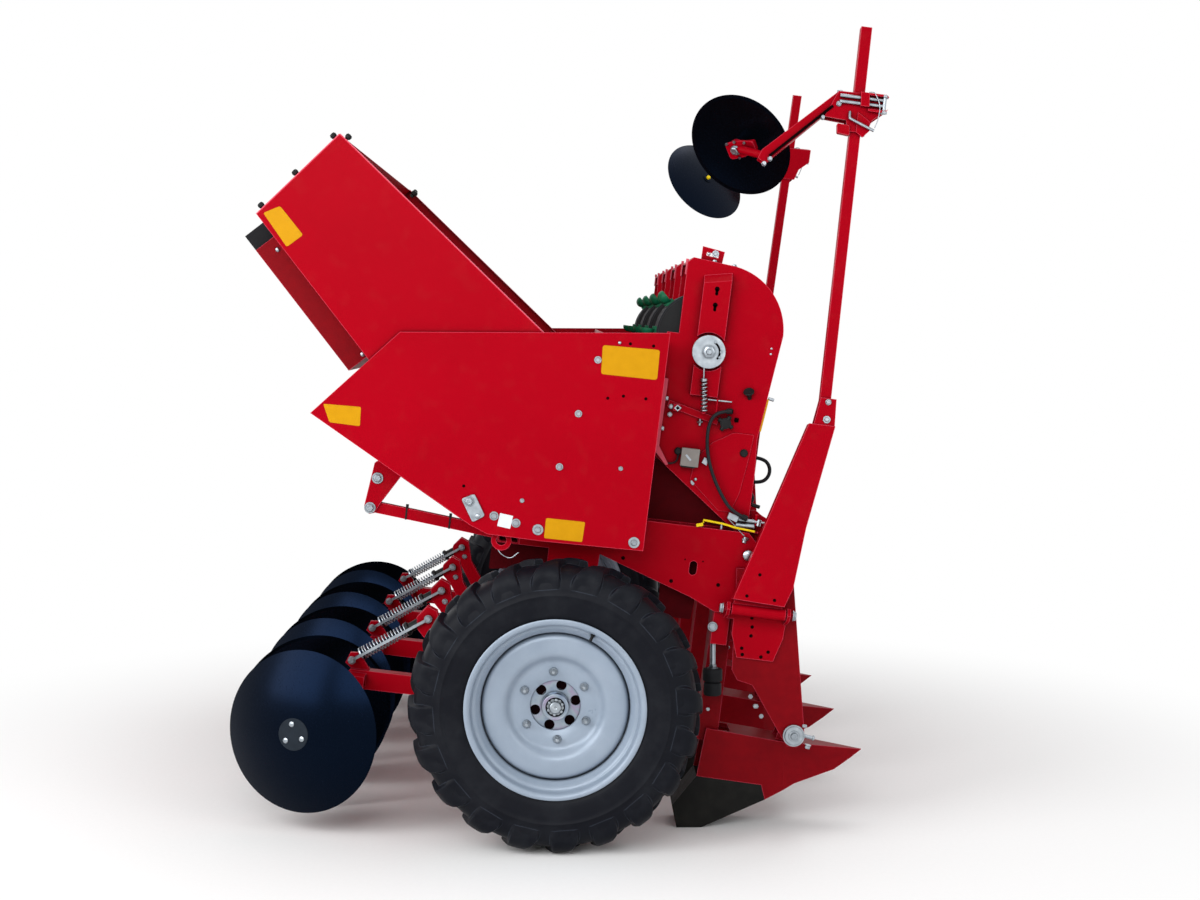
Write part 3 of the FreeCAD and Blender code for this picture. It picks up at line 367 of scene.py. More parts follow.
def plain_skin(name, dark, light, low, high, grain, specular=0.15, edge_colour=None):
    """Even painted or moulded skin: two close tones, a range of roughness, a grain in millimetres, and the
    colour of a painted highlight along its edges, where there is one."""
    material, tree, shader = surface(name, IOR=1.5, Specular_IOR_Level=specular)
    place = add(tree, "ShaderNodeTexCoord").outputs["Object"]
    # The two tones cloud over about 33 mm.
    cloud = add(tree, "ShaderNodeTexNoise",
                {"Vector": place, "Scale": marks(33.3), "Detail": 5.0}).outputs["Fac"]
    tone = add(tree, "ShaderNodeMix", {"Factor": cloud, "A": linear(dark), "B": linear(light)},
               data_type="RGBA").outputs["Result"]
    # A paler edge colour paints a highlight along the edges.
    if edge_colour:
        tone = edge_wear_and_highlight(tree, tone, 0.0045, edge_colour, 0.8)
    tree.links.new(tone, shader.inputs["Base Color"])
    gloss = add(tree, "ShaderNodeMapRange", {"Value": cloud, "To Min": low, "To Max": high}).outputs["Result"]
    tree.links.new(gloss, shader.inputs["Roughness"])
    bumps = add(tree, "ShaderNodeTexNoise", {"Vector": place, "Scale": marks(grain), "Detail": 2.0})
    bump = add(tree, "ShaderNodeBump", {"Height": bumps.outputs["Fac"], "Strength": 0.15, "Distance": 0.0005})
    tree.links.new(bump.outputs["Normal"], shader.inputs["Normal"])
    return material


def red_powder_coat():
    """Polyester powder baked on sheet steel: an even deep red, glossy, with a faint orange peel; a paler line
    over folds and cut edges, where the coat thins, is also a painted highlight, and painted shade darkens the
    corners."""
    colours = bpy.context.scene.planter_colours
    material, tree, shader = surface("red_powder_coat", IOR=1.5, Specular_IOR_Level=0.03)
    place = add(tree, "ShaderNodeTexCoord").outputs["Object"]
    # The coat drifts slowly over 400 mm, and road dust settles in patches of about 60 mm.
    drift = add(tree, "ShaderNodeTexNoise",
                {"Vector": place, "Scale": marks(400), "Detail": 3.0}).outputs["Fac"]
    dust = add(tree, "ShaderNodeTexNoise",
               {"Vector": place, "Scale": marks(62.5), "Detail": 6.0}).outputs["Fac"]
    plain = add(tree, "ShaderNodeMix",
                {"Factor": drift, "A": linear(colours.red), "B": linear(colours.red_deep)},
                data_type="RGBA")
    dusty = add(tree, "ShaderNodeMapRange",
                {"Value": dust, "From Min": 0.55, "From Max": 0.85, "To Max": 0.03})
    dulled = add(tree, "ShaderNodeMix", {"Factor": dusty.outputs["Result"], "A": plain.outputs["Result"],
                                         "B": linear("#8a6a5c")}, data_type="RGBA")
    # Paler along edges: the coat thins there, and the line is also a painted highlight.
    edged = edge_wear_and_highlight(tree, dulled.outputs["Result"], 0.0045, "#e24e66", 0.7)
    # Painted shade in corners, under parts and between them.
    shaded = painted_corner_shade(tree, edged, 0.05, "#3c0008", 0.8)
    tree.links.new(shaded, shader.inputs["Base Color"])
    gloss = add(tree, "ShaderNodeMapRange", {"Value": dust, "To Min": 0.26, "To Max": 0.42}).outputs["Result"]
    tree.links.new(gloss, shader.inputs["Roughness"])
    # Orange peel is 1 to 2 mm across; it is drawn at 4 mm, so that it shows.
    peel = add(tree, "ShaderNodeTexNoise", {"Vector": place, "Scale": marks(4), "Detail": 1.0}).outputs["Fac"]
    bump = add(tree, "ShaderNodeBump", {"Height": peel, "Strength": 0.05, "Distance": 0.001})
    tree.links.new(bump.outputs["Normal"], shader.inputs["Normal"])
    return material


def lit_red_fold():
    """The same powder coat on a fold, paler as a painted highlight of the light on the fold, where the coat
    also runs thin.
    """
    return plain_skin("lit_red_fold", "#c4475a", "#d05c6c", 0.3, 0.45, 4.0, 0.08)


def shaded_red():
    """The same powder coat on the parts that run in the soil and under the machine: dulled, darkened as
    painted shade, with a painted highlight along its edges.
    """
    return plain_skin("shaded_red", "#6c020d", "#850410", 0.34, 0.5, 4.0, 0.06, "#c83e55")


def boss_paint():
    """Stove paint on the bearing covers of the discs: grey-black, dull."""
    return plain_skin("boss_paint", "#171d24", "#222a33", 0.4, 0.55, 3.0, 0.1)


def shade_dark_red():
    """Painted shade: very dark, dull brown-red, on thin sheets that stand where there is only shade."""
    return plain_skin("shade_dark_red", "#3a0409", "#4d060d", 0.6, 0.8, 3.0, 0.03)


def silver_enamel():
    """Silver-grey stove enamel on the pressed rims: satin, with a fine metallic flake, and painted shade in
    its grooves and corners.
    """
    colours = bpy.context.scene.planter_colours
    material, tree, shader = surface("silver_enamel", Metallic=0.12, Specular_IOR_Level=0.3)
    place = add(tree, "ShaderNodeTexCoord").outputs["Object"]
    # Dust and fingermarks lie in patches of about 80 mm.
    soil = add(tree, "ShaderNodeTexNoise",
               {"Vector": place, "Scale": marks(83.3), "Detail": 5.0}).outputs["Fac"]
    # The aluminium flake is 0.1 mm across; it is drawn at 1.1 mm, so that it shows.
    flake = add(tree, "ShaderNodeTexNoise",
                {"Vector": place, "Scale": marks(1.11), "Detail": 2.0}).outputs["Fac"]
    both = add(tree, "ShaderNodeMath", {0: soil, 1: flake}, operation="MULTIPLY").outputs["Value"]
    tint = add(tree, "ShaderNodeMapRange",
               {"Value": both, "From Min": 0.05, "From Max": 0.5}).outputs["Result"]
    shade = add(tree, "ShaderNodeMix", {"Factor": tint, "A": linear(colours.rim), "B": linear("#98a4b3")},
                data_type="RGBA")
    # Painted shade in the rim's grooves and corners.
    shaded = painted_corner_shade(tree, shade.outputs["Result"], 0.022, "#3d4754", 0.8)
    tree.links.new(shaded, shader.inputs["Base Color"])
    gloss = add(tree, "ShaderNodeMapRange", {"Value": soil, "To Min": 0.24, "To Max": 0.36}).outputs["Result"]
    tree.links.new(gloss, shader.inputs["Roughness"])
    bump = add(tree, "ShaderNodeBump", {"Height": flake, "Strength": 0.03, "Distance": 0.0005})
    tree.links.new(bump.outputs["Normal"], shader.inputs["Normal"])
    return material


def tyre_compound():
    """Carbon-black tyre rubber, moulded: matt blue-black side walls, browner dust on the tread, and painted
    shade in its creases.
    """
    colours = bpy.context.scene.planter_colours
    material, tree, shader = surface("tyre_compound", IOR=1.5, Specular_IOR_Level=0.1)
    place = add(tree, "ShaderNodeTexCoord").outputs["Object"]
    # Dried earth is smeared in patches of about 110 mm.
    smear = add(tree, "ShaderNodeTexNoise",
                {"Vector": place, "Scale": marks(111), "Detail": 8.0, "Roughness": 0.65})
    earth = add(tree, "ShaderNodeMapRange",
                {"Value": smear.outputs["Fac"], "From Min": 0.45, "From Max": 0.8})
    shade = add(tree, "ShaderNodeMix", {"Factor": earth.outputs["Result"], "A": linear(colours.tyre),
                                        "B": linear("#1c1e23")}, data_type="RGBA")
    worn = edge_wear_and_highlight(tree, shade.outputs["Result"], 0.004, "#434a56", 0.6)
    # Painted shade in the creases between the lugs.
    tree.links.new(painted_corner_shade(tree, worn, 0.03, "#040507"), shader.inputs["Base Color"])
    gloss = add(tree, "ShaderNodeMapRange", {"Value": smear.outputs["Fac"], "To Min": 0.36, "To Max": 0.6})
    tree.links.new(gloss.outputs["Result"], shader.inputs["Roughness"])
    # The mould leaves a grain of 1.7 mm, and the road scuffs of 15 mm.
    grain = add(tree, "ShaderNodeTexNoise",
                {"Vector": place, "Scale": marks(1.67), "Detail": 2.0}).outputs["Fac"]
    scuff = add(tree, "ShaderNodeTexNoise",
                {"Vector": place, "Scale": marks(15.4), "Detail": 4.0}).outputs["Fac"]
    low = add(tree, "ShaderNodeBump", {"Height": scuff, "Strength": 0.18, "Distance": 0.002})
    fine = add(tree, "ShaderNodeBump", {"Height": grain, "Strength": 0.12, "Distance": 0.0006,
                                        "Normal": low.outputs["Normal"]})
    tree.links.new(fine.outputs["Normal"], shader.inputs["Normal"])
    return material


def black_lacquer():
    """Thin black dip lacquer on the rolled steel discs: glossy blue-black with fine pits and specks; the blue
    tint of its reflections is a painted sky reflection.
    """
    colours = bpy.context.scene.planter_colours
    material, tree, shader = surface("black_lacquer", IOR=1.5, Specular_IOR_Level=0.18)
    place = add(tree, "ShaderNodeTexCoord").outputs["Object"]
    # The lacquer broke over scale in specks of 3 mm that stand 6 mm apart, and clouds over about 170 mm.
    specks = add(tree, "ShaderNodeTexVoronoi", {"Vector": place, "Scale": marks(5.88)}).outputs["Distance"]
    cloud = add(tree, "ShaderNodeTexNoise",
                {"Vector": place, "Scale": marks(167), "Detail": 5.0}).outputs["Fac"]
    few = add(tree, "ShaderNodeMapRange",
              {"Value": specks, "From Min": 0.28, "From Max": 0.14}).outputs["Result"]
    shade = add(tree, "ShaderNodeMix", {"Factor": cloud, "A": linear(colours.disc), "B": linear("#04070c")},
                data_type="RGBA")
    tree.links.new(shade.outputs["Result"], shader.inputs["Base Color"])
    # The blue tint on the reflections paints the reflection of a blue sky.
    shader.inputs["Specular Tint"].default_value = linear("#5f8fe0")
    dull = add(tree, "ShaderNodeMath", {0: few, 1: cloud}, operation="MULTIPLY").outputs["Value"]
    gloss = add(tree, "ShaderNodeMapRange", {"Value": dull, "To Min": 0.24, "To Max": 0.7}).outputs["Result"]
    tree.links.new(gloss, shader.inputs["Roughness"])
    bump = add(tree, "ShaderNodeBump", {"Height": few, "Strength": 0.12, "Distance": 0.0006})
    tree.links.new(bump.outputs["Normal"], shader.inputs["Normal"])
    return material


def zinc_plate():
    """Bright zinc plate with a clear passivate: pale blue-white metal, a little cloudy, with painted shade
    beside nuts and in corners.
    """
    material, tree, shader = surface("zinc_plate", Metallic=1.0)
    place = add(tree, "ShaderNodeTexCoord").outputs["Object"]
    # The passivate clouds over about 20 mm.
    cloud = add(tree, "ShaderNodeTexNoise",
                {"Vector": place, "Scale": marks(22.2), "Detail": 4.0}).outputs["Fac"]
    tone = graded(tree, cloud, [(0.3, "#98a0a8"), (0.6, "#aab2b9"), (0.75, "#b9c0c5")])
    # Painted shade beside washers and in corners.
    tree.links.new(painted_corner_shade(tree, tone, 0.014, "#1e2124"), shader.inputs["Base Color"])
    gloss = add(tree, "ShaderNodeMapRange",
                {"Value": cloud, "To Min": 0.22, "To Max": 0.45}).outputs["Result"]
    tree.links.new(gloss, shader.inputs["Roughness"])
    return material


def hub_zinc():
    """Machined cast hub, zinc plated: satin, with the blue and violet tints of the passivate, and painted
    shade in its corners.
    """
    material, tree, shader = surface("hub_zinc", Metallic=0.9)
    place = add(tree, "ShaderNodeTexCoord").outputs["Object"]
    # The tints change over about 55 mm.
    cloud = add(tree, "ShaderNodeTexNoise",
                {"Vector": place, "Scale": marks(55.6), "Detail": 3.0}).outputs["Fac"]
    tone = graded(tree, cloud, [(0.3, "#7c8aa0"), (0.5, "#96a2ac"), (0.62, "#978ea6"), (0.75, "#83a2a8")])
    # Painted shade in the hub's corners.
    tree.links.new(painted_corner_shade(tree, tone, 0.012, "#23262c"), shader.inputs["Base Color"])
    gloss = add(tree, "ShaderNodeMapRange", {"Value": cloud, "To Min": 0.3, "To Max": 0.45}).outputs["Result"]
    tree.links.new(gloss, shader.inputs["Roughness"])
    return material


def cast_shoe():
    """Hard cast iron wear shoe under thin black paint: near black, rough, dry."""
    material, tree, shader = surface("cast_shoe", IOR=1.5, Specular_IOR_Level=0.12)
    place = add(tree, "ShaderNodeTexCoord").outputs["Object"]
    # Rust and soil cloud the paint over about 50 mm.
    cloud = add(tree, "ShaderNodeTexNoise",
                {"Vector": place, "Scale": marks(50), "Detail": 7.0}).outputs["Fac"]
    tone = graded(tree, cloud, [(0.35, "#0f0f0e"), (0.6, "#171715"), (0.8, "#201e1c")])
    tree.links.new(tone, shader.inputs["Base Color"])
    gloss = add(tree, "ShaderNodeMapRange", {"Value": cloud, "To Min": 0.45, "To Max": 0.7}).outputs["Result"]
    tree.links.new(gloss, shader.inputs["Roughness"])
    # Sand casting leaves a grain of about 1 mm; it is drawn at 2.5 mm, so that it shows.
    grain = add(tree, "ShaderNodeTexNoise",
                {"Vector": place, "Scale": marks(2.5), "Detail": 3.0}).outputs["Fac"]
    bump = add(tree, "ShaderNodeBump", {"Height": grain, "Strength": 0.3, "Distance": 0.001})
    tree.links.new(bump.outputs["Normal"], shader.inputs["Normal"])
    return material


def buffer_rubber():
    """Moulded natural rubber: black, slightly greyed, matt."""
    return plain_skin("buffer_rubber", "#121315", "#1f2023", 0.5, 0.75, 2.0, 0.1)


def belt_fabric():
    """Rubberised fabric belt: dark grey, matt, with its 1 mm weave drawn at 4 mm, so that it shows."""
    return plain_skin("belt_fabric", "#222426", "#303236", 0.6, 0.8, 4.0, 0.1)


def black_polyamide():
    """Injection-moulded glass-filled nylon: satin black."""
    return plain_skin("black_polyamide", "#101112", "#1c1d1f", 0.35, 0.55, 1.5)


def green_polyamide():
    """Injection-moulded nylon cups: saturated green, satin."""
    return plain_skin("green_polyamide", "#0a4a31", "#116a47", 0.35, 0.5, 1.5)


def grey_abs():
    """Moulded ABS sensor box: warm mid grey, satin."""
    return plain_skin("grey_abs", "#77736f", "#8e8a86", 0.4, 0.6, 1.5)


def yellow_film():
    """Blank vinyl film: strong yellow, smooth, slightly glossy."""
    return plain_skin("yellow_film", "#b88204", "#ca9209", 0.3, 0.42, 3.0, 0.08)


def white_film():
    """Blank vinyl film: paper white, matt."""
    return plain_skin("white_film", "#c9ced6", "#dfe3e8", 0.4, 0.5, 3.0, 0.15)


def yellow_enamel():
    """Enamel on bent wire and small caps: clear yellow, satin."""
    return plain_skin("yellow_enamel", "#d9b80a", "#efd51c", 0.3, 0.45, 2.0)


def deep_shadow():
    """Painted steel deep in a small hole, where no light gets in: nearly black, a little red."""
    return plain_skin("deep_shadow", "#070203", "#140406", 0.8, 0.9, 2.0, 0.02)


def hose_rubber():
    """Extruded hydraulic hose cover: black, faint wrap marks, soft gloss."""
    return plain_skin("hose_rubber", "#15171a", "#26292e", 0.38, 0.6, 3.0, 0.15)


MAKERS = (
    red_powder_coat, lit_red_fold, shaded_red, boss_paint, shade_dark_red, silver_enamel, tyre_compound,
    black_lacquer, zinc_plate, hub_zinc, cast_shoe, buffer_rubber, belt_fabric, black_polyamide,
    green_polyamide, grey_abs, yellow_film, white_film, yellow_enamel, deep_shadow, hose_rubber,
)


def finish(name):
    """The material of that name, made the first time it is asked for."""
    found = bpy.data.materials.get(name)
    if found:
        return found
    return {maker.__name__: maker for maker in MAKERS}[name]()


# The finish of each of the frame's nodes, without its side and row; all others are powder coated.
COAT_OF = {
    "rim": "silver_enamel", "tyre": "tyre_compound", "hub": "hub_zinc", "stub_axles": "zinc_plate",
    "wear_shoes": "cast_shoe", "buffer_pads": "buffer_rubber", "bin_bumper": "buffer_rubber",
    "belt_guides": "black_polyamide", "cup_belts": "belt_fabric", "cups": "green_polyamide",
    "drive_disc": "zinc_plate", "drive_spring": "zinc_plate", "control_box": "grey_abs",
    "control_knobs": "black_polyamide", "hose_loom": "hose_rubber", "hose_loop": "hose_rubber",
    # The spring rods take the black lacquer as painted shade inside the coils.
    "hose_glands": "black_polyamide", "closing_springs": "zinc_plate", "spring_rods": "black_lacquer",
    "spring_bars": "zinc_plate", "closing_disc": "black_lacquer", "marker_disc": "black_lacquer",
    # Openers, hangers, tray and tubes take the red darkened as painted shade.
    "share_shaft": "zinc_plate", "furrow_openers": "shaded_red", "share_hangers": "shaded_red",
    "bin_tray": "shaded_red", "planting_tubes": "shaded_red",
}


# ---------------------------------------------------------------- properties
class PlanterColours(bpy.types.PropertyGroup):
    """Colours of the planter's main finishes"""

    red: FloatVectorProperty(
        name="Red coat", description="Main colour of the sheet metal",
        subtype="COLOR_GAMMA", size=3, min=0, max=1, default=srgb("#a30015"))
    red_deep: FloatVectorProperty(
        name="Deep red", description="Darker drift of the red coat",
        subtype="COLOR_GAMMA", size=3, min=0, max=1, default=srgb("#950011"))
    rim: FloatVectorProperty(
        name="Rim", description="Silver-grey enamel of the rims",
        subtype="COLOR_GAMMA", size=3, min=0, max=1, default=srgb("#8593a3"))
    tyre: FloatVectorProperty(
        name="Tyre", description="Rubber of the tyres",
        subtype="COLOR_GAMMA", size=3, min=0, max=1, default=srgb("#0d0f16"))
    disc: FloatVectorProperty(
        name="Disc", description="Lacquer of the closing and marker discs",
        subtype="COLOR_GAMMA", size=3, min=0, max=1, default=srgb("#020304"))


class PlanterSizes(bpy.types.PropertyGroup):
    """Sizes of the tread and of the pressure springs"""

    tyre_steps: IntProperty(
        name="Tyre steps", description="Facets round each tyre", default=160, min=40, max=400)
    lug_count: IntProperty(
        name="Lugs per side", description="Tread lugs on each side of a tyre", default=20, min=12, max=30)
    lug_depth: FloatProperty(
        name="Lug depth", description="Height of a lug above the carcass, in millimetres",
        default=22.0, min=5, max=30)
    spring_turns: IntProperty(
        name="Spring turns", description="Turns of each pressure spring", default=15, min=5, max=30)
    spring_wire: FloatProperty(
        name="Spring wire", description="Wire diameter of a pressure spring, in millimetres",
        default=6.0, min=2, max=9)


# ---------------------------------------------------------------- wheels
# Middle plane of a wheel, radius and half width of its tyre, and radius of its nuts' circle.
WHEEL_Y = RIM_Y - 112.0
TYRE_RADIUS = 525.0
TYRE_HALF_WIDTH = 120.3
NUT_CIRCLE = 122.0


def wheel_place(side):
    """Middle of a wheel, with Z outward along its axle."""
    return aim((0, side * WHEEL_Y, 0), (0, side, 0))


# Radius and offset from the wheel's middle plane, from the bead to the tread.
TYRE_OUTER = (
    (306, 104.5), (325, 105.5), (331, 110), (338, 113.5), (352, 115), (368, 117.5), (388, 119.3), (403, 119.6),
    (405, 121), (408, 121), (410, 119.6), (424, 118.4), (440, 116), (456, 111.5), (470, 105), (482, 96),
    (491, 84), (497, 70), (501, 52), (503, 30), (503.5, 0),
)


def tyre_mesh(bm, side):
    """Carcass with moulded rings, and two rows of lugs whose shoulders run down the side walls."""
    sizes = bpy.context.scene.planter_sizes
    outer = list(TYRE_OUTER) + [(r, -y) for r, y in TYRE_OUTER[-2::-1]]
    inner = [(306, -90), (478, -72), (490, 0), (478, 72), (306, 90)]
    turned(bm, outer + inner, wheel_place(side), sizes.tyre_steps, closed=True)
    for half in (-1, 1):
        for i in range(sizes.lug_count):
            turn = 2 * math.pi * (i + 0.25 * (half + 1)) / sizes.lug_count
            lug_mesh(bm, side, half, turn, sizes.lug_depth)


# A lug's stations from the middle of the tread to its foot on the side wall: radius and offset of the
# carcass, height above it, trailing arc, half width, and depth of the hollow in the shoulder.
LUG_STATIONS = (
    (503, 4, 0.95, -40, 14, 0.0), (502.5, 22, 1.0, -30, 16, 0.0), (501.5, 42, 1.0, -18, 20, 0.0),
    (500, 60, 0.98, -6, 26, 0.0), (495, 76, 0.95, 4, 33, 0.0), (487, 90, 0.9, 10, 39, 0.15),
    (477, 100, 0.82, 14, 43, 0.5), (465, 107.5, 0.68, 16, 45, 0.9), (452, 112.5, 0.5, 17, 46, 1.1),
    (440, 116, 0.3, 17, 46, 0.9), (430, 117.8, 0.12, 17, 46, 0.4),
)


def lug_mesh(bm, side, half, turn, depth):
    """One tread lug, as rings of eight points from the tread's middle to the side wall."""
    rings = []
    for k, (r, y, share, trail, width, hollow) in enumerate(LUG_STATIONS):
        before = LUG_STATIONS[max(k - 1, 0)]
        after = LUG_STATIONS[min(k + 1, len(LUG_STATIONS) - 1)]
        along = Vector((after[0] - before[0], after[1] - before[1])).normalized()
        out = Vector((along.y, -along.x))
        if out.x < 0:
            out = -out
        height = depth * share
        top = min(r + out.x * height, math.sqrt(TYRE_RADIUS ** 2 - (abs(trail) + width) ** 2) + 2.5)
        ring = []
        for across, lift in ((-1.25, -4), (-1.0, height - 3), (-0.82, height), (-0.35, height - hollow * 10),
                             (0.35, height - hollow * 10), (0.82, height), (1.0, height - 3), (1.25, -4)):
            radius = min(r + out.x * lift, top)
            offset = min(y + out.y * lift, TYRE_HALF_WIDTH)
            a = turn + (trail + across * width) / max(radius, 1)
            ring.append(bm.verts.new(Vector((radius * math.cos(a), side * (WHEEL_Y + half * offset),
                                             radius * math.sin(a)))))
        rings.append(ring)
    for near, far in zip(rings, rings[1:]):
        for k in range(len(near) - 1):
            bm.faces.new((near[k], near[k + 1], far[k + 1], far[k]))
    bm.faces.new(rings[0])
    bm.faces.new(rings[-1])


# Radius and offset from the wheel's middle plane, round the outer flange and down into the well.
RIM_OUTER = (
    (305, 90), (305, 104.6), (309, 105), (318, 105.4), (322.6, 107), (323, 110), (321, 111.8), (315, 112),
    (308, 110), (303, 106), (301, 103), (299.5, 98), (297.5, 88), (295.5, 80), (292, 77), (289, 76), (285, 74),
    (279, 66), (270, 54), (266.5, 48), (265.5, 40), (265, 30),
)


def rim_mesh(bm, side):
    """Drop-centre rim barrel and the bulged wheel disc welded into it."""
    place = wheel_place(side)
    back = [(r, -y) for r, y in reversed(RIM_OUTER[7:])]
    skin = [(305, -90), (303, -72), (272, -50), (272, 50), (303, 72)]
    front = [(305, -104.6), (309, -105), (322.6, -107), (323, -110), (321, -111.8)]
    turned(bm, list(RIM_OUTER) + back + front[::-1] + skin, place, 128, closed=True)
    disc = [(264.8, 22), (262, 36), (257, 44), (250, 48.5), (240, 50.5), (225, 51), (205, 50.2), (193, 48.8),
            (184, 45.5), (176, 39.5), (169, 32), (162, 25), (156, 21.6), (150, 20.3), (144, 20), (91.5, 20),
            (90, 18.5), (90, 12), (152, 12), (166, 16), (184, 36), (200, 41), (240, 42), (252, 38), (257, 22)]
    turned(bm, disc, place, 128, closed=True)


class PLANTER_OT_wheels(bpy.types.Operator):
    """Build tyres, rims, wheel nuts, hub trim, valves and axle nuts"""

    bl_idname = "planter.wheels"
    bl_label = "Wheels"

    def execute(self, context):
        for name, side in SIDES.items():
            body = f"wheel_{name}"
            bm = bmesh.new()
            tyre_mesh(bm, side)
            piece(f"tread_tyre_{name}", bm, "tyre_compound", body, replaces=(f"tyre_{name}",), sharp=38)
            bm = bmesh.new()
            rim_mesh(bm, side)
            piece(f"pressed_rim_{name}", bm, "silver_enamel", body, replaces=(f"rim_{name}",), sharp=50)
            self.wheel_nuts(name, side, body)
            self.hub_trim(name, side, body)
            self.valve(name, side, body)
            self.axle_nut(name, side)
        return {"FINISHED"}

    def wheel_nuts(self, name, side, body):
        """Six studs with their nuts and dished washers."""
        out = (0, side, 0)
        face = side * (WHEEL_Y + 20)
        bm = bmesh.new()
        for i, (x, z) in enumerate(circle(6, NUT_CIRCLE, 100)):
            turned(bm, [(0, 0), (15.5, 0), (15.5, 2), (13, 5.5), (0, 5.5)], aim((x, face, z), out), 24)
            bolt(bm, (x, face + side * 4, z), out, 19, 13, 0, 12 * i)
            pin(bm, (x, face, z), (x, face + side * 26, z), 6.5, 14, 1.5)
        piece(f"wheel_nuts_{name}", bm, "zinc_plate", body)

    def hub_trim(self, name, side, body):
        """Turned lip on the hub's nose, and a dark disc of painted shade behind the six holes of its flange.
        """
        bm = bmesh.new()
        lip = [(36.2, -42), (46.9, -42), (48.6, -40), (48.8, -6), (47, -1), (44, 0.5), (41, 0), (39.5, -2),
               (38.5, -9), (36.2, -10)]
        turned(bm, lip, aim((0, side * HUB_Y, 0), (0, side, 0)), 48, closed=True)
        piece(f"hub_lip_{name}", bm, "hub_zinc", body)
        # A dark disc behind the flange's holes paints the shade seen through them.
        bm = bmesh.new()
        behind = aim((0, side * (HUB_Y - 57), 0), (0, side, 0))
        turned(bm, [(59, 0), (96, 0), (96, 1.5), (59, 1.5)], behind, 48, closed=True)
        piece(f"hub_shade_disc_{name}", bm, "deep_shadow", body)

    def valve(self, name, side, body):
        """Rubber valve, from its root in the rim's well to its bent stem."""
        bm = bmesh.new()
        a = math.radians(70)
        stem = [Vector((r * math.cos(a), side * (WHEEL_Y + out), r * math.sin(a)))
                for r, out in ((300, 78), (288, 83), (270, 86))]
        pin(bm, stem[0], stem[1], 8.0, 16, 2)
        pin(bm, stem[1], stem[2], 5.5, 16, 1.5)
        piece(f"valve_{name}", bm, "black_polyamide", body)

    def axle_nut(self, name, side):
        """Castle nut, and the cap on the axle's end."""
        out = (0, side, 0)
        bm = bmesh.new()
        nut = [(20.2, -14), (33, -14), (33, -3), (31, 0), (20.2, 0)]
        turned(bm, nut, aim((0, side * (AXLE_Y - 13), 0), out), 6, closed=True)
        castle = [(0, -3), (5.5, -3), (5.5, 6), (4.5, 7), (0, 7)]
        for x, z in circle(6, 26, 30):
            turned(bm, castle, aim((x, side * (AXLE_Y - 12), z), out), 12)
        turned(bm, [(0, 0), (19.5, 0), (19.5, 3.5), (17.5, 5), (6, 5), (3, 3), (0, 3)],
               aim((0, side * AXLE_Y, 0), out), 32)
        piece(f"axle_nut_{name}", bm, "zinc_plate")


# ---------------------------------------------------------------- finishes on the frame's own nodes
class PLANTER_OT_coats(bpy.types.Operator):
    """Give every node of the frame its finish"""

    bl_idname = "planter.coats"
    bl_label = "Coats on the frame"

    def execute(self, context):
        for name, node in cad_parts.items():
            stem = name.removesuffix("_right").removesuffix("_left").rstrip("_1234")
            coat = finish(COAT_OF.get(stem, "red_powder_coat"))
            if not node.material_slots:
                node.data.materials.append(coat)
            for held in node.material_slots:
                held.material = coat
        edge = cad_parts["bin_bumper"].modifiers.new("moulded_edges", "BEVEL")
        edge.width = 0.012
        edge.segments = 4
        edge.limit_method = "ANGLE"
        return {"FINISHED"}


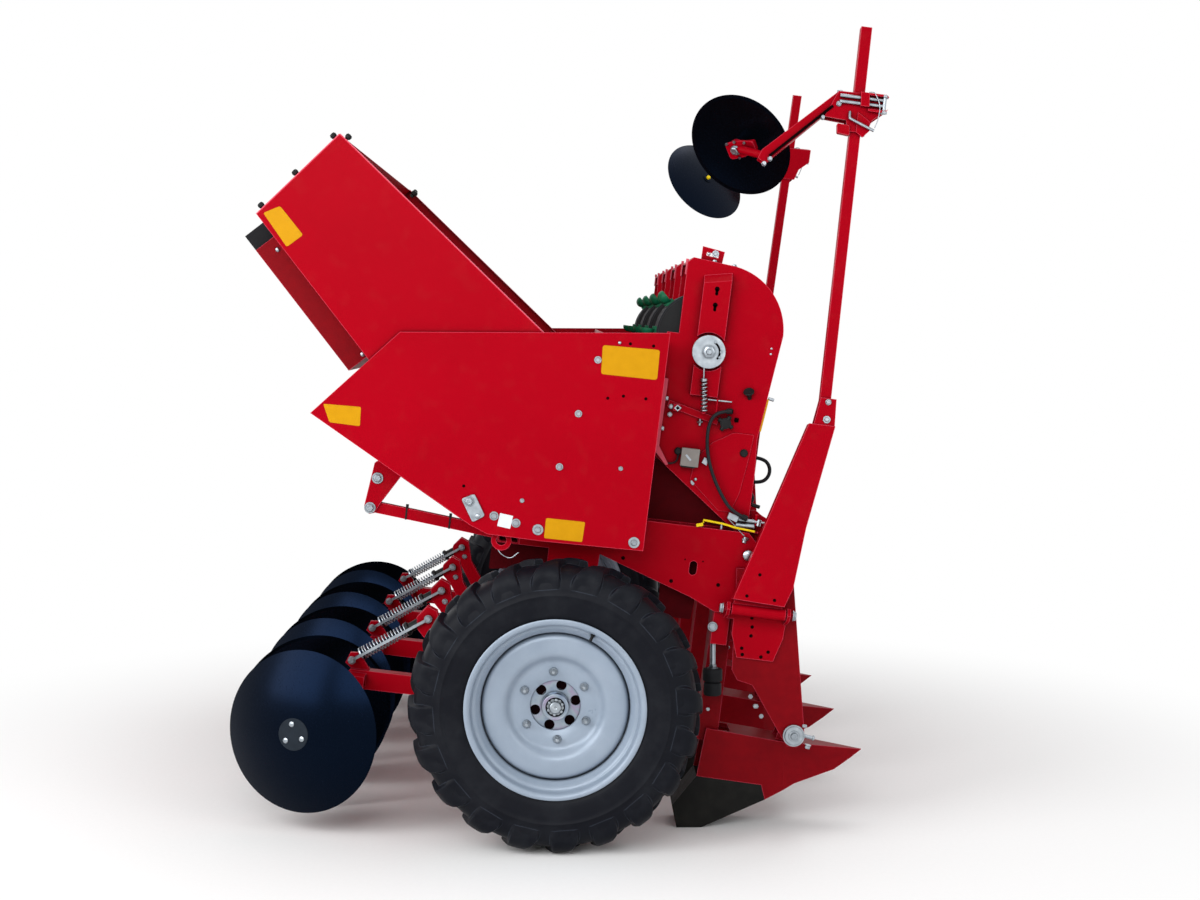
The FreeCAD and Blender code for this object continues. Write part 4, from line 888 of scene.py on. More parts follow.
# ---------------------------------------------------------------- hopper
class PLANTER_OT_hopper(bpy.types.Operator):
    """Add bolts, blank labels, the flap lever and the eye wires of the hopper sides"""

    bl_idname = "planter.hopper"
    bl_label = "Hopper sides"

    def execute(self, context):
        for name, side in SIDES.items():
            axis = (0, side, 0)
            y = side * HOPPER_Y
            self.bolts(name, y, axis)
            self.films(name, side)
            # Painted shade in six holes of the side sheet.
            bm = bmesh.new()
            for x, z in ((-416, 737), (108, 1307), (190, 1309), (52, 1107), (106, 1121), (186, 1121)):
                hole(bm, (x, y, z), axis, 5.5)
            piece(f"hopper_holes_{name}", bm, "deep_shadow")
            self.lever(name, side, y, axis)
            bm = bmesh.new()
            inner = side * (HOPPER_Y - 39)
            wire = [(-280, 548), (-262, 512), (-225, 497), (-196, 520)]
            swept(bm, smoothed([(x, inner, z) for x, z in wire]), 2.0, 8)
            piece(f"eye_wire_{name}", bm, "zinc_plate")
        return {"FINISHED"}

    def bolts(self, name, y, axis):
        """Bolts of the side sheet: four on the inner struts, five along the foot, and a rivet at the top."""
        bm = bmesh.new()
        for x, z in ((1, 1237), (-44, 1040), (-88, 845)):
            bolt(bm, (x, y, z), axis, 15, 8, 13)
        bolt(bm, (128, y, 865), axis, 10, 5, 8)
        for x, z, washer in ((-137, 614, 19.5), (207, 609, 20), (-297, 644, 16), (-217, 628, 16)):
            bolt(bm, (x, y, z), axis, 19, 9, washer, 10)
        bolt(bm, (-205, y, 710), axis, 10, 5, 8)
        round_head(bm, (70, y, 1306), axis, 6, 4)
        piece(f"hopper_bolts_{name}", bm, "zinc_plate")

    def films(self, name, side):
        """Three blank yellow labels and a white one."""
        bm = bmesh.new()
        film(bm, [(12, 1291), (214, 1298), (217, 1192), (18, 1189)], side, HOPPER_Y, 10)
        film(bm, [(-941, 966), (-808, 971), (-804, 903), (-912, 904)], side, HOPPER_Y, 6)
        film(bm, [(-113, 659), (26, 661), (24, 589), (-112, 587)], side, HOPPER_Y, 6)
        piece(f"hopper_labels_{name}", bm, "yellow_film")
        bm = bmesh.new()
        film(bm, [(-277, 657), (-230, 652), (-235, 605), (-282, 610)], side, HOPPER_Y, 2)
        piece(f"hopper_tag_{name}", bm, "white_film")

    def lever(self, name, side, y, axis):
        """Short zinc lever that holds the cleaning flap, with its nut and its rivet."""
        bm = bmesh.new()
        plate = rounded([(-419, 691), (-375, 714), (-329, 641), (-370, 613)], 9)
        slab(bm, [(x, y, z) for x, z in plate], (0, side * 6, 0))
        turned(bm, [(0, 0), (17, 0), (17, 3), (0, 3)], aim((-390, y + side * 6, 685), axis), 24)
        bolt(bm, (-390, y + side * 8, 685), axis, 24, 10, 0, 12)
        round_head(bm, (-354, y + side * 6, 637), axis, 9, 5)
        piece(f"cover_lever_{name}", bm, "zinc_plate", bevel=0.8)


# ---------------------------------------------------------------- closing units
# One closing unit over the middle of its row: ends of the spring rod, disc centres and their toe-in.
SPRING_FOOT = Vector((-769, 0, 7))
SPRING_HEAD = Vector((-504, 0, 195))
DISC_CENTRE = Vector((-907, 0, -251))
DISC_OFFSET = 175.0
DISC_TOE = math.radians(20.0)

# Points on each turn of a coil, and the part of a turn that lies flat against the seat at each end.
COIL_POINTS = 14
FLAT_TURN = 0.8


def coil(name, start, end, radius, wire, turns, replaces):
    """Helical spring as a round-bevelled curve; the radius of the coil and of its wire are given."""
    start, end = Vector(start), Vector(end)
    place = aim(start, end - start)
    length = (end - start).length
    count = turns * COIL_POINTS + 1
    curve = bpy.data.curves.new(name, "CURVE")
    curve.dimensions = "3D"
    curve.bevel_depth = wire / 1000
    curve.bevel_resolution = 2
    curve.use_fill_caps = True
    spline = curve.splines.new("POLY")
    spline.points.add(count - 1)
    seat = wire * 1.1
    for k in range(count):
        turn = k / COIL_POINTS
        a = 2 * math.pi * turn
        share = min(max((turn - FLAT_TURN) / (turns - 2 * FLAT_TURN), 0), 1)
        height = seat * min(turn, FLAT_TURN) / FLAT_TURN + share * (length - 2 * seat)
        if turn > turns - FLAT_TURN:
            height += seat
        p = MACHINE @ place @ Vector((radius * math.cos(a), radius * math.sin(a), min(height, length)))
        spline.points[k].co = (*p, 1)
    spline.use_smooth = True
    curve.materials.append(finish("zinc_plate"))
    return placed(bpy.data.objects.new(name, curve), "root", replaces)


class PLANTER_OT_closing(bpy.types.Operator):
    """Wind the pressure springs and add caps, rivets and pins of the closing units"""

    bl_idname = "planter.closing"
    bl_label = "Closing units"

    def execute(self, context):
        sizes = context.scene.planter_sizes
        run = (SPRING_HEAD - SPRING_FOOT).normalized()
        wire = sizes.spring_wire / 2
        cap = [(9.2, 231), (25.5, 231), (26, 233), (26, 240), (22, 243), (18, 244), (18, 286), (16, 291),
               (9.2, 291)]
        pins = bmesh.new()
        caps = bmesh.new()
        for i, row in enumerate(ROWS):
            start = SPRING_FOOT + Vector((0, row, 0))
            low, high = start + run * (46 + wire), start + run * (230 - wire)
            coil(f"pressure_spring_{i + 1}", low, high, 25.0 - wire, wire, sizes.spring_turns,
                 ("closing_springs",) if i == 0 else ())
            for end in (SPRING_FOOT, SPRING_HEAD):
                bolt(pins, (end.x, row - 45, end.z), (0, -1, 0), 19, 8, 13)
            bolt(pins, (-485, row - 28, 150), (0, -1, 0), 17, 8, 12)
            turned(pins, [(0, 0), (22, 0), (24, 2), (24, 7), (22, 9), (0, 9)], aim(start + run * 33, run), 28)
            turned(caps, cap, aim(start, run), 28, closed=True)
        piece("closing_pins", pins, "zinc_plate")
        piece("spring_caps", caps, "black_polyamide")
        for i, row in enumerate(ROWS):
            for name, side in SIDES.items():
                self.boss(i + 1, name, side, row)
        return {"FINISHED"}

    def boss(self, number, name, side, row):
        """Riveted plate over the bearing, on the crown of a closing disc."""
        axis = Vector((-math.sin(DISC_TOE), side * math.cos(DISC_TOE), 0))
        level = Vector((-side * math.cos(DISC_TOE), -math.sin(DISC_TOE), 0))
        crown = DISC_CENTRE + Vector((0, row + side * DISC_OFFSET, 0)) + axis * 70
        body = f"rotor_{number}_{name}"
        bm = bmesh.new()
        turned(bm, [(0, -6), (59, -6), (59.5, -1.2), (57.5, 0.6), (0, 0.9)], aim(crown, axis), 48)
        piece(f"disc_boss_{number}_{name}", bm, "boss_paint", body)
        bm = bmesh.new()
        for across, up in circle(3, 38, 105):
            round_head(bm, crown + level * across + Vector((0, 0, up)) + axis * 0.8, axis, 10.5, 5)
        piece(f"disc_rivets_{number}_{name}", bm, "zinc_plate", body)


# ---------------------------------------------------------------- row elements
# Outer face of the outer right housing, and the middle of the adjusting disc on it.
FACE = -HOUSING_Y
DRIVE_DISC = (399, 1311)


class PLANTER_OT_housings(bpy.types.Operator):
    """Add the drive, knobs and gauge of the outer right housing, and the folds and bolts of all four"""

    bl_idname = "planter.housings"
    bl_label = "Row housings"

    def execute(self, context):
        out = (0, -1, 0)
        self.drive(out)
        self.dark_marks(out)
        self.controls(out)
        self.gauge()
        self.sheets(out)
        return {"FINISHED"}

    def drive(self, out):
        """Tension spring, adjusting disc with its nut and screws, lever socket, and rod."""
        y = FACE - 44.3
        coil("drive_coil", (394, y, 1207), (408, y, 1098.5), 10.8, 3.0, 9, ("drive_spring",))
        bm = bmesh.new()
        pin(bm, (389, y, 1252), (393, y, 1207), 3.0)
        pin(bm, (393, y, 1213), (393.6, y, 1206), 13.5)
        x, z = DRIVE_DISC
        disc = [(0, 0), (59, 0), (60.5, 1), (60.5, 7.4), (59.6, 8.4), (0, 8.4)]
        turned(bm, disc, aim((x, FACE - 40, z), out), 64)
        turned(bm, [(0, 0), (24, 0), (24, 3), (22.5, 4.2), (0, 4.2)], aim((x, FACE - 48, z), out), 32)
        bolt(bm, (x, FACE - 52, z), out, 38, 13, 0, 8)
        pin(bm, (x, FACE - 60, z), (x, FACE - 68, z), 10)
        for x, z in ((419, 1349), (443, 1316), (440, 1296)):
            bolt(bm, (x, FACE - 48, z), out, 10, 4, 0)
        for x, z in ((290, 1097), (289, 1068)):
            bolt(bm, (x, FACE - 10, z), out, 13, 7, 9)
        pin(bm, (401, FACE - 5, 1064), (402, FACE - 5, 1040), 5)
        turned(bm, [(0, 0), (11, 0), (11, 5), (0, 5)], aim((401, FACE - 5, 1056), (0.1, 0, -1)), 6)
        upright(bm, [(301, 1093), (312, 1107), (327, 1097), (315, 1083)], FACE - 25.2, FACE - 10)
        pin(bm, (419, FACE - 22, 1139), (507, FACE - 22, 1140), 3.2)
        piece("adjusting_disc", bm, "zinc_plate")

    def dark_marks(self, out):
        """Painted shade in the keyholes of the channel, the hollow of the lever socket, the slot of the disc
        and two rounded squares; and the link beside it.
        """
        bm = bmesh.new()
        for z in (1540, 1482):
            hole(bm, (402, FACE - 30, z), out, 9)
            hole(bm, (402, FACE - 30, z - 18), out, 5.5)
            upright(bm, [(396.5, z - 18), (407.5, z - 18), (407.5, z), (396.5, z)], FACE - 30.4, FACE - 30)
        upright(bm, [(306, 1094.5), (313.5, 1102), (322, 1095.5), (314.5, 1088)], FACE - 25.8, FACE - 25)
        slot = []
        for r, angles in ((43, range(-35, 66, 10)), (36, range(65, -36, -10))):
            for a in angles:
                slot.append((DRIVE_DISC[0] + r * math.cos(math.radians(a)),
                             DRIVE_DISC[1] + r * math.sin(math.radians(a))))
        upright(bm, slot, FACE - 48.8, FACE - 48)
        for x, z, half in ((509, 1105, 9), (534, 1076, 8)):
            square = [(x - half, z - half), (x + half, z - half), (x + half, z + half), (x - half, z + half)]
            upright(bm, rounded(square, 4), FACE - 3, FACE)
        piece("channel_keyholes", bm, "deep_shadow")
        bm = bmesh.new()
        pin(bm, (454, FACE - 24, 1146), (455, FACE - 24, 1098), 3.5)
        piece("drive_link", bm, "red_powder_coat")

    def controls(self, out):
        """Star knob, flared push knob, plugs and the sensor box's fittings."""
        bm = bmesh.new()
        x, z = 494, 1060
        for across, up in circle(4, 31, 64):
            pin(bm, (x, FACE - 21, z), (x + across, FACE - 21, z + up), 8.5, 16, 3)
        turned(bm, [(0, 0), (16, 0), (20, 4), (20, 12), (16, 17), (0, 18)], aim((x, FACE - 12, z), out), 28)
        turned(bm, [(0, 0), (8, 0), (8, 12), (12, 24), (20, 31), (20, 34), (18, 36), (0, 34)],
               aim((572, FACE + 2, 1160), (-0.25, -0.62, 0.74)), 28)
        for x, z, r, depth in ((576, 959, 13, 9), (336, 938, 12, 10)):
            turned(bm, [(0, 0), (r + 2, 0), (r, 2), (r, depth - 2), (r - 2, depth), (0, depth)],
                   aim((x, FACE - 3, z), out), 24)
        upright(bm, [(352, 884), (402, 884), (402, 890), (352, 890)], FACE - 34, FACE)
        pin(bm, (630, FACE + 25, 773), (662, FACE + 25, 767), 7)
        turned(bm, [(20 + across, up) for across, up in circle(8, 7)],
               aim((612, FACE + 25, 795), (0.1, -1, 0.2)), 32, closed=True)
        piece("moulded_knobs", bm, "black_polyamide")
        bm = bmesh.new()
        lead = [(338, FACE - 10, 926), (334, FACE - 14, 905), (322, FACE - 8, 893), (300, FACE - 4, 889)]
        swept(bm, smoothed(lead), 3.0, 8)
        piece("sensor_lead", bm, "hose_rubber")
        bm = bmesh.new()
        upright(bm, [(434, 927), (449, 924), (445, 898), (427, 907)], FACE - 12, FACE - 3)
        upright(bm, [(362, 928), (367, 933), (386, 914), (381, 909)], FACE - 37, FACE - 35)
        round_head(bm, (412, FACE - 3.5, 843), out, 6, 4)
        upright(bm, [(395, 834), (399, 838), (410, 828), (406, 820), (398, 825)], FACE - 7, FACE - 3.5)
        for z in (1350, 1330):
            round_head(bm, (628, FACE, z), out, 4, 2)
        pin(bm, (641, FACE + 12, 1168), (662, FACE + 12, 1164), 6)
        piece("housing_fittings", bm, "zinc_plate")
        bm = bmesh.new()
        pin(bm, (582, FACE + 12, 812), (608, FACE + 12, 801), 8)
        piece("coupling_cap", bm, "yellow_enamel")

    def gauge(self):
        """Depth gauge of the drive with its clamp block, bars and yellow pointer wire."""
        bm = bmesh.new()
        upright(bm, [(549, 739), (586, 727), (579, 706), (544, 718)], FACE - 24, FACE)
        pin(bm, (585, FACE - 10, 717), (660, FACE - 10, 714), 7.5)
        pin(bm, (578, FACE - 12, 696), (646, FACE - 12, 697), 10)
        pin(bm, (660, FACE - 10, 700), (663, FACE - 10, 724), 9)
        pin(bm, (663, FACE - 10, 714), (684, FACE - 10, 714), 4)
        pin(bm, (544, FACE - 20, 719), (614, FACE - 20, 659), 1.8)
        pin(bm, (620, FACE - 20, 656), (615, FACE - 20, 634), 8)
        turned(bm, [(0, 0), (13, 0), (13, 7), (0, 7)], aim((619, FACE - 20, 652), (0.2, 0, -1)), 6)
        pin(bm, (526, FACE - 20, 700), (527, FACE - 20, 674), 5)
        piece("gauge_steel", bm, "zinc_plate")
        bm = bmesh.new()
        y = FACE - 32
        swept(bm, [(459, y, 691), (457, y, 701), (528, y, 696), (577, y, 687), (649, y, 681)], 4.0, 10)
        upright(bm, rounded([(433, 684), (457, 691), (459, 679), (435, 673)], 3), y - 2, y + 2)
        piece("gauge_pointer", bm, "yellow_enamel")
        bm = bmesh.new()
        pin(bm, (652, FACE - 10, 700), (651, FACE - 10, 742), 6)
        bracket = [(590, 676), (590, 750), (650, 754), (672, 738), (700, 726), (700, 640), (660, 640)]
        upright(bm, rounded(bracket, 10), FACE + 26, FACE + 32)
        piece("gauge_bracket", bm, "red_powder_coat")

    def sheets(self, out):
        """Cover plate, folds, dark sheets of painted shade on the boots, ears and top bolts, and the blank
        label on the front.
        """
        bm = bmesh.new()
        cover = [(392, 838), (397, 882), (406, 924), (456, 984), (531, 1030), (606, 1030), (597, 940),
                 (578, 806), (553, 738), (508, 738)]
        upright(bm, rounded(cover, 6), FACE - 3, FACE)
        piece("housing_cover", bm, "red_powder_coat", bevel=1.2)
        bm = bmesh.new()
        fold = [(246, 1200), (268, 1196), (264, 950), (306, 886), (296, 882), (246, 934)]
        upright(bm, fold, FACE - 14, FACE)
        # The fold is drawn paler, as a painted highlight.
        piece("housing_fold", bm, "lit_red_fold", bevel=2)
        bm = bmesh.new()
        # Thin dark sheets on the boot cheeks paint the shade of the recess.
        for row in ROWS:
            for side in SIDES.values():
                y = row + side * 104
                upright(bm, [(248, 917), (569, 677), (248, 677)], y, y + side * 0.8)
        piece("boot_shade_sheets", bm, "shade_dark_red")
        bm = bmesh.new()
        for row in ROWS:
            for side in SIDES.values():
                y = row + side * 150
                block(bm, 281, 286, y, y - side * 8, 1580, 1628)
                block(bm, 279, 289, y, y - side * 8, 1625, 1637)
        # The ears take the paler fold coat, a painted highlight.
        piece("housing_ears", bm, "lit_red_fold", bevel=1)
        bm = bmesh.new()
        for row in ROWS:
            # The top slopes down to the front, from 1645 at its rear edge.
            for x in (384, 458):
                bolt(bm, (x, row - 130, 1645 - (x - 306) * 0.097), (0.1, 0, 1), 13, 8, 11)
        bolt(bm, (384, FACE + 26, 1667), out, 13, 8, 13)
        for x, z in ((268, 1125), (266, 1014)):
            bolt(bm, (x, FACE - 10, z), (1, 0, 0), 13, 8, 8)
        round_head(bm, (360, FACE + 26, 1664), out, 6, 4)
        piece("housing_top_bolts", bm, "zinc_plate")
        bm = bmesh.new()
        label = [(637, FACE + 2, 1165), (622.5, FACE + 2, 1045), (622.5, FACE + 90, 1045),
                 (637, FACE + 90, 1165)]
        slab(bm, label, (6, 0, -0.8))
        piece("housing_label", bm, "yellow_film")


# ---------------------------------------------------------------- hoses
# The plane and the line of each hose.
LOOM_Y = FACE - 28
LOOM = ((492, 1104), (450, 1096), (430, 1035), (440, 945), (473, 860), (522, 783), (560, 744), (597, 730))
LOOP_Y = ROWS[0] + 125
LOOP = ((645, 931), (683, 931), (710, 903), (710, 865), (683, 838), (645, 838))


def hose(name, outline, y, radius, node):
    """Flexible hose on one smooth line, of a radius in millimetres."""
    route = [(x, y, z) for x, z in outline]
    curve = bpy.data.curves.new(name, "CURVE")
    curve.dimensions = "3D"
    curve.bevel_depth = radius / 1000
    curve.bevel_resolution = 5
    curve.resolution_u = 16
    curve.use_fill_caps = True
    spline = curve.splines.new("NURBS")
    spline.points.add(len(route) - 1)
    for point, place in zip(spline.points, route):
        point.co = (*at(*place), 1)
    spline.order_u = 3
    spline.use_endpoint_u = True
    curve.materials.append(finish("hose_rubber"))
    made = placed(bpy.data.objects.new(name, curve), "root", (node,))


class PLANTER_OT_hoses(bpy.types.Operator):
    """Lay the two hoses on the outer right housing"""

    bl_idname = "planter.hoses"
    bl_label = "Hoses"

    def execute(self, context):
        hose("hydraulic_hose", LOOM, LOOM_Y, 6.5, "hose_loom")
        hose("sensor_hose", LOOP, LOOP_Y, 7.0, "hose_loop")
        return {"FINISHED"}


# ---------------------------------------------------------------- frame
class PLANTER_OT_chassis(bpy.types.Operator):
    """Add bolts, holes, washers and cable ties on the frame"""

    bl_idname = "planter.chassis"
    bl_label = "Frame fasteners"

    def execute(self, context):
        for name, side in SIDES.items():
            self.frame_side(name, side)
            self.cushions(name, side)
        bm = bmesh.new()
        for row in ROWS:
            for side in SIDES.values():
                for x, z in ((744, 24), (771, -11)):
                    bolt(bm, (x, row + side * 90, z), (0, side, 0), 16, 7, 0)
                bolt(bm, (571, row + side * 90, -8), (0, side, 0), 13, 6, 0)
        piece("opener_bolts", bm, "zinc_plate")
        return {"FINISHED"}

    def frame_side(self, name, side):
        """Fasteners of one side beam, end plate and strut, and two dark sheets of painted shade inside the
        beam.
        """
        axis = (0, side, 0)
        y = side * BEAM_Y
        bm = bmesh.new()
        # Two thin dark sheets inside the beam paint the shade that is seen into the frame.
        for sheet in ([(330, 494), (408, 458), (408, 560), (480, 560), (470, 430), (462, 322), (340, 322)],
                      [(-300, 420), (-300, 526), (-196, 526), (-196, 560), (-80, 545), (-80, 450)]):
            upright(bm, rounded(sheet, 8), y - side * 64, y - side * 61)
        piece(f"shade_sheet_{name}", bm, "shade_dark_red")
        bm = bmesh.new()
        bolt(bm, (541, y, 314), axis, 24, 10, 18)
        for x, z, way in ((561, 400, -1), (817, 400, 1)):
            bolt(bm, (x, side * MARKER_Y, z), (way, 0, 0), 30, 12, 20)
        washer = aim((886, side * SHAFT_Y, -48), axis)
        turned(bm, [(0, -2), (32, -2), (34, 0), (34, 3), (32, 5), (20, 5), (19, 8), (0, 8)], washer, 40)
        bolt(bm, (886, side * (SHAFT_Y + 8), -48), axis, 22, 9, 0)
        hanger = side * HANGER_Y
        lock = side * (HANGER_Y + 2)
        pin(bm, (912, lock, -44), (960, lock, -50), 7)
        round_head(bm, (958, lock, -50), (1, 0, -0.1), 10, 8)
        bolt(bm, (922, hanger, -14), (0.1, 0, 1), 17, 9, 0)
        bolt(bm, (944, hanger, -78), (-0.1, 0, -1), 17, 14, 12)
        round_head(bm, (636, hanger, 591), axis, 20, 9)
        piece(f"frame_bolts_{name}", bm, "zinc_plate")
        # Painted shade in holes of the beam and of the share hanger.
        bm = bmesh.new()
        for x, z, r in ((369, 463, 7), (542, 469, 7), (184, 526, 7), (410, 548, 3), (476, 548, 3)):
            hole(bm, (x, y, z), axis, r)
        for x, z in ((678, 366), (683, 333), (683, 300), (655, 251), (660, 228), (753, 248), (729, 227)):
            hole(bm, (x, side * (HANGER_Y + 10), z), axis, 6.5)
        piece(f"frame_holes_{name}", bm, "deep_shadow")
        self.strut_trim(name, side, axis)

    def strut_trim(self, name, side, axis):
        """Bolts of a hopper strut's foot, and two cable ties round the tube."""
        bm = bmesh.new()
        for x, z in ((-740, 708), (-755, 597)):
            turned(bm, [(0, -1), (21, -1), (21, 2), (20, 3), (0, 3)], aim((x, side * STRUT_Y, z), axis), 28)
            bolt(bm, (x, side * (STRUT_Y + 3), z), axis, 24, 9, 16)
        piece(f"strut_bolts_{name}", bm, "zinc_plate")
        bm = bmesh.new()
        for x in (-622, -461):
            # The top of the tube falls from 622 to 579 on its way forward.
            z = 622 + (x + 757) * (579 - 622) / 477
            block(bm, x - 3, x + 3, side * (STRUT_Y - 49.5), side * (STRUT_Y - 6.5), z - 41.5, z + 1.5)
            block(bm, x - 5, x + 5, side * (STRUT_Y - 26), side * (STRUT_Y - 16), z + 1, z + 14)
        piece(f"cable_ties_{name}", bm, "black_polyamide")

    def cushions(self, name, side):
        """The two rubber cushions and their washer, on the stem of a stop buffer."""
        bm = bmesh.new()
        top = Vector((554, side * (BEAM_Y - 31.5), 236))
        run = Vector((24, 0, -200))
        for start, end, r in ((0.4, 0.64, 36), (0.66, 0.9, 33)):
            a, b = top + run * start, top + run * end
            length = (b - a).length
            turned(bm, [(0, 0), (r - 6, 0), (r - 2, 2), (r, 7), (r, length - 7), (r - 2, length - 2),
                        (r - 6, length), (0, length)], aim(a, b - a), 36)
        turned(bm, [(0, 0), (25, 0), (25, 6), (0, 6)], aim(top + run * 0.635, run), 28)
        piece(f"stop_cushions_{name}", bm, "buffer_rubber", replaces=("buffer_pads",) if side < 0 else ())
        bm = bmesh.new()
        turned(bm, [(0, 0), (20, 0), (20, 3), (0, 3)], aim(top + run * 0.385, run), 24)
        turned(bm, [(0, 0), (15, 0), (15, 10), (0, 10)], aim(top + run * 0.335, run), 6)
        pin(bm, top - run * 0.06, top + run * 0.39, 10)
        piece(f"cushion_stem_{name}", bm, "zinc_plate")


# ---------------------------------------------------------------- tipping bin
class PLANTER_OT_bin(bpy.types.Operator):
    """Add the edge folds, rubber knobs, bolts and blank label of the tipping bin"""

    bl_idname = "planter.bin"
    bl_label = "Tipping bin"

    def execute(self, context):
        # Corners of the raised bin's side: the heel of its tail sheet, the top, and the front of its brim.
        heel, top, front = Vector((-1249, 0, 1598)), Vector((-991, 0, 1910)), Vector((-168, 0, 1283))
        tail_out = Vector((top.z - heel.z, 0, heel.x - top.x)).normalized() * -1
        brim_out = Vector((top.z - front.z, 0, front.x - top.x)).normalized()
        knobs = bmesh.new()
        for name, side in SIDES.items():
            y = Vector((0, side * (BIN_Y - 16), 0))
            for share in (0.95, 0.49, 0.08):
                self.knob(knobs, heel.lerp(top, share) + y, tail_out)
            self.knob(knobs, top.lerp(front, 0.025) + y + brim_out, brim_out)
            bm = bmesh.new()
            inner, outer = Vector((0, side * (BIN_Y - 28), 0)), Vector((0, side * BIN_Y, 0))
            for start, end, out in ((top, front, brim_out), (heel, top, tail_out)):
                slab(bm, (start + inner, end + inner, end + outer, start + outer), out * 3)
            # The folds take the paler coat, a painted highlight.
            piece(f"bin_folds_{name}", bm, "lit_red_fold", "tip_bin")
            bm = bmesh.new()
            film(bm, [(-1226, 1605), (-1170, 1636), (-1079, 1546), (-1131, 1497)], side, BIN_Y, 8)
            piece(f"bin_label_{name}", bm, "yellow_film", "tip_bin")
            bm = bmesh.new()
            for x, z in ((-1190, 1487), (-844, 1150)):
                round_head(bm, (x, side * TRAY_Y, z), (0, side, 0), 9, 6)
            piece(f"bin_bolts_{name}", bm, "zinc_plate", "tip_bin")
        self.knob(knobs, top.lerp(front, 0.3) + Vector((0, -TRAY_Y, 0)) + brim_out * 18, brim_out)
        piece("bin_knobs", knobs, "black_polyamide", "tip_bin")
        return {"FINISHED"}

    def knob(self, bm, place, out):
        """Rubber stop knob standing on a thin edge."""
        turned(bm, [(0, -4), (7, -4), (7, 4), (11, 8), (12, 16), (9, 22), (0, 24)], aim(place, out), 20)


# ---------------------------------------------------------------- row markers
# The folded-up left marker disc: its middle, its axis, and the point of the pole that carries it.
BLADE_CENTRE = Vector((446, 970, 2096))
BLADE_AXIS = Vector((-0.427, 0.73, -0.546)).normalized()
BLADE_MOUNT = Vector((520, 1150, 2068))


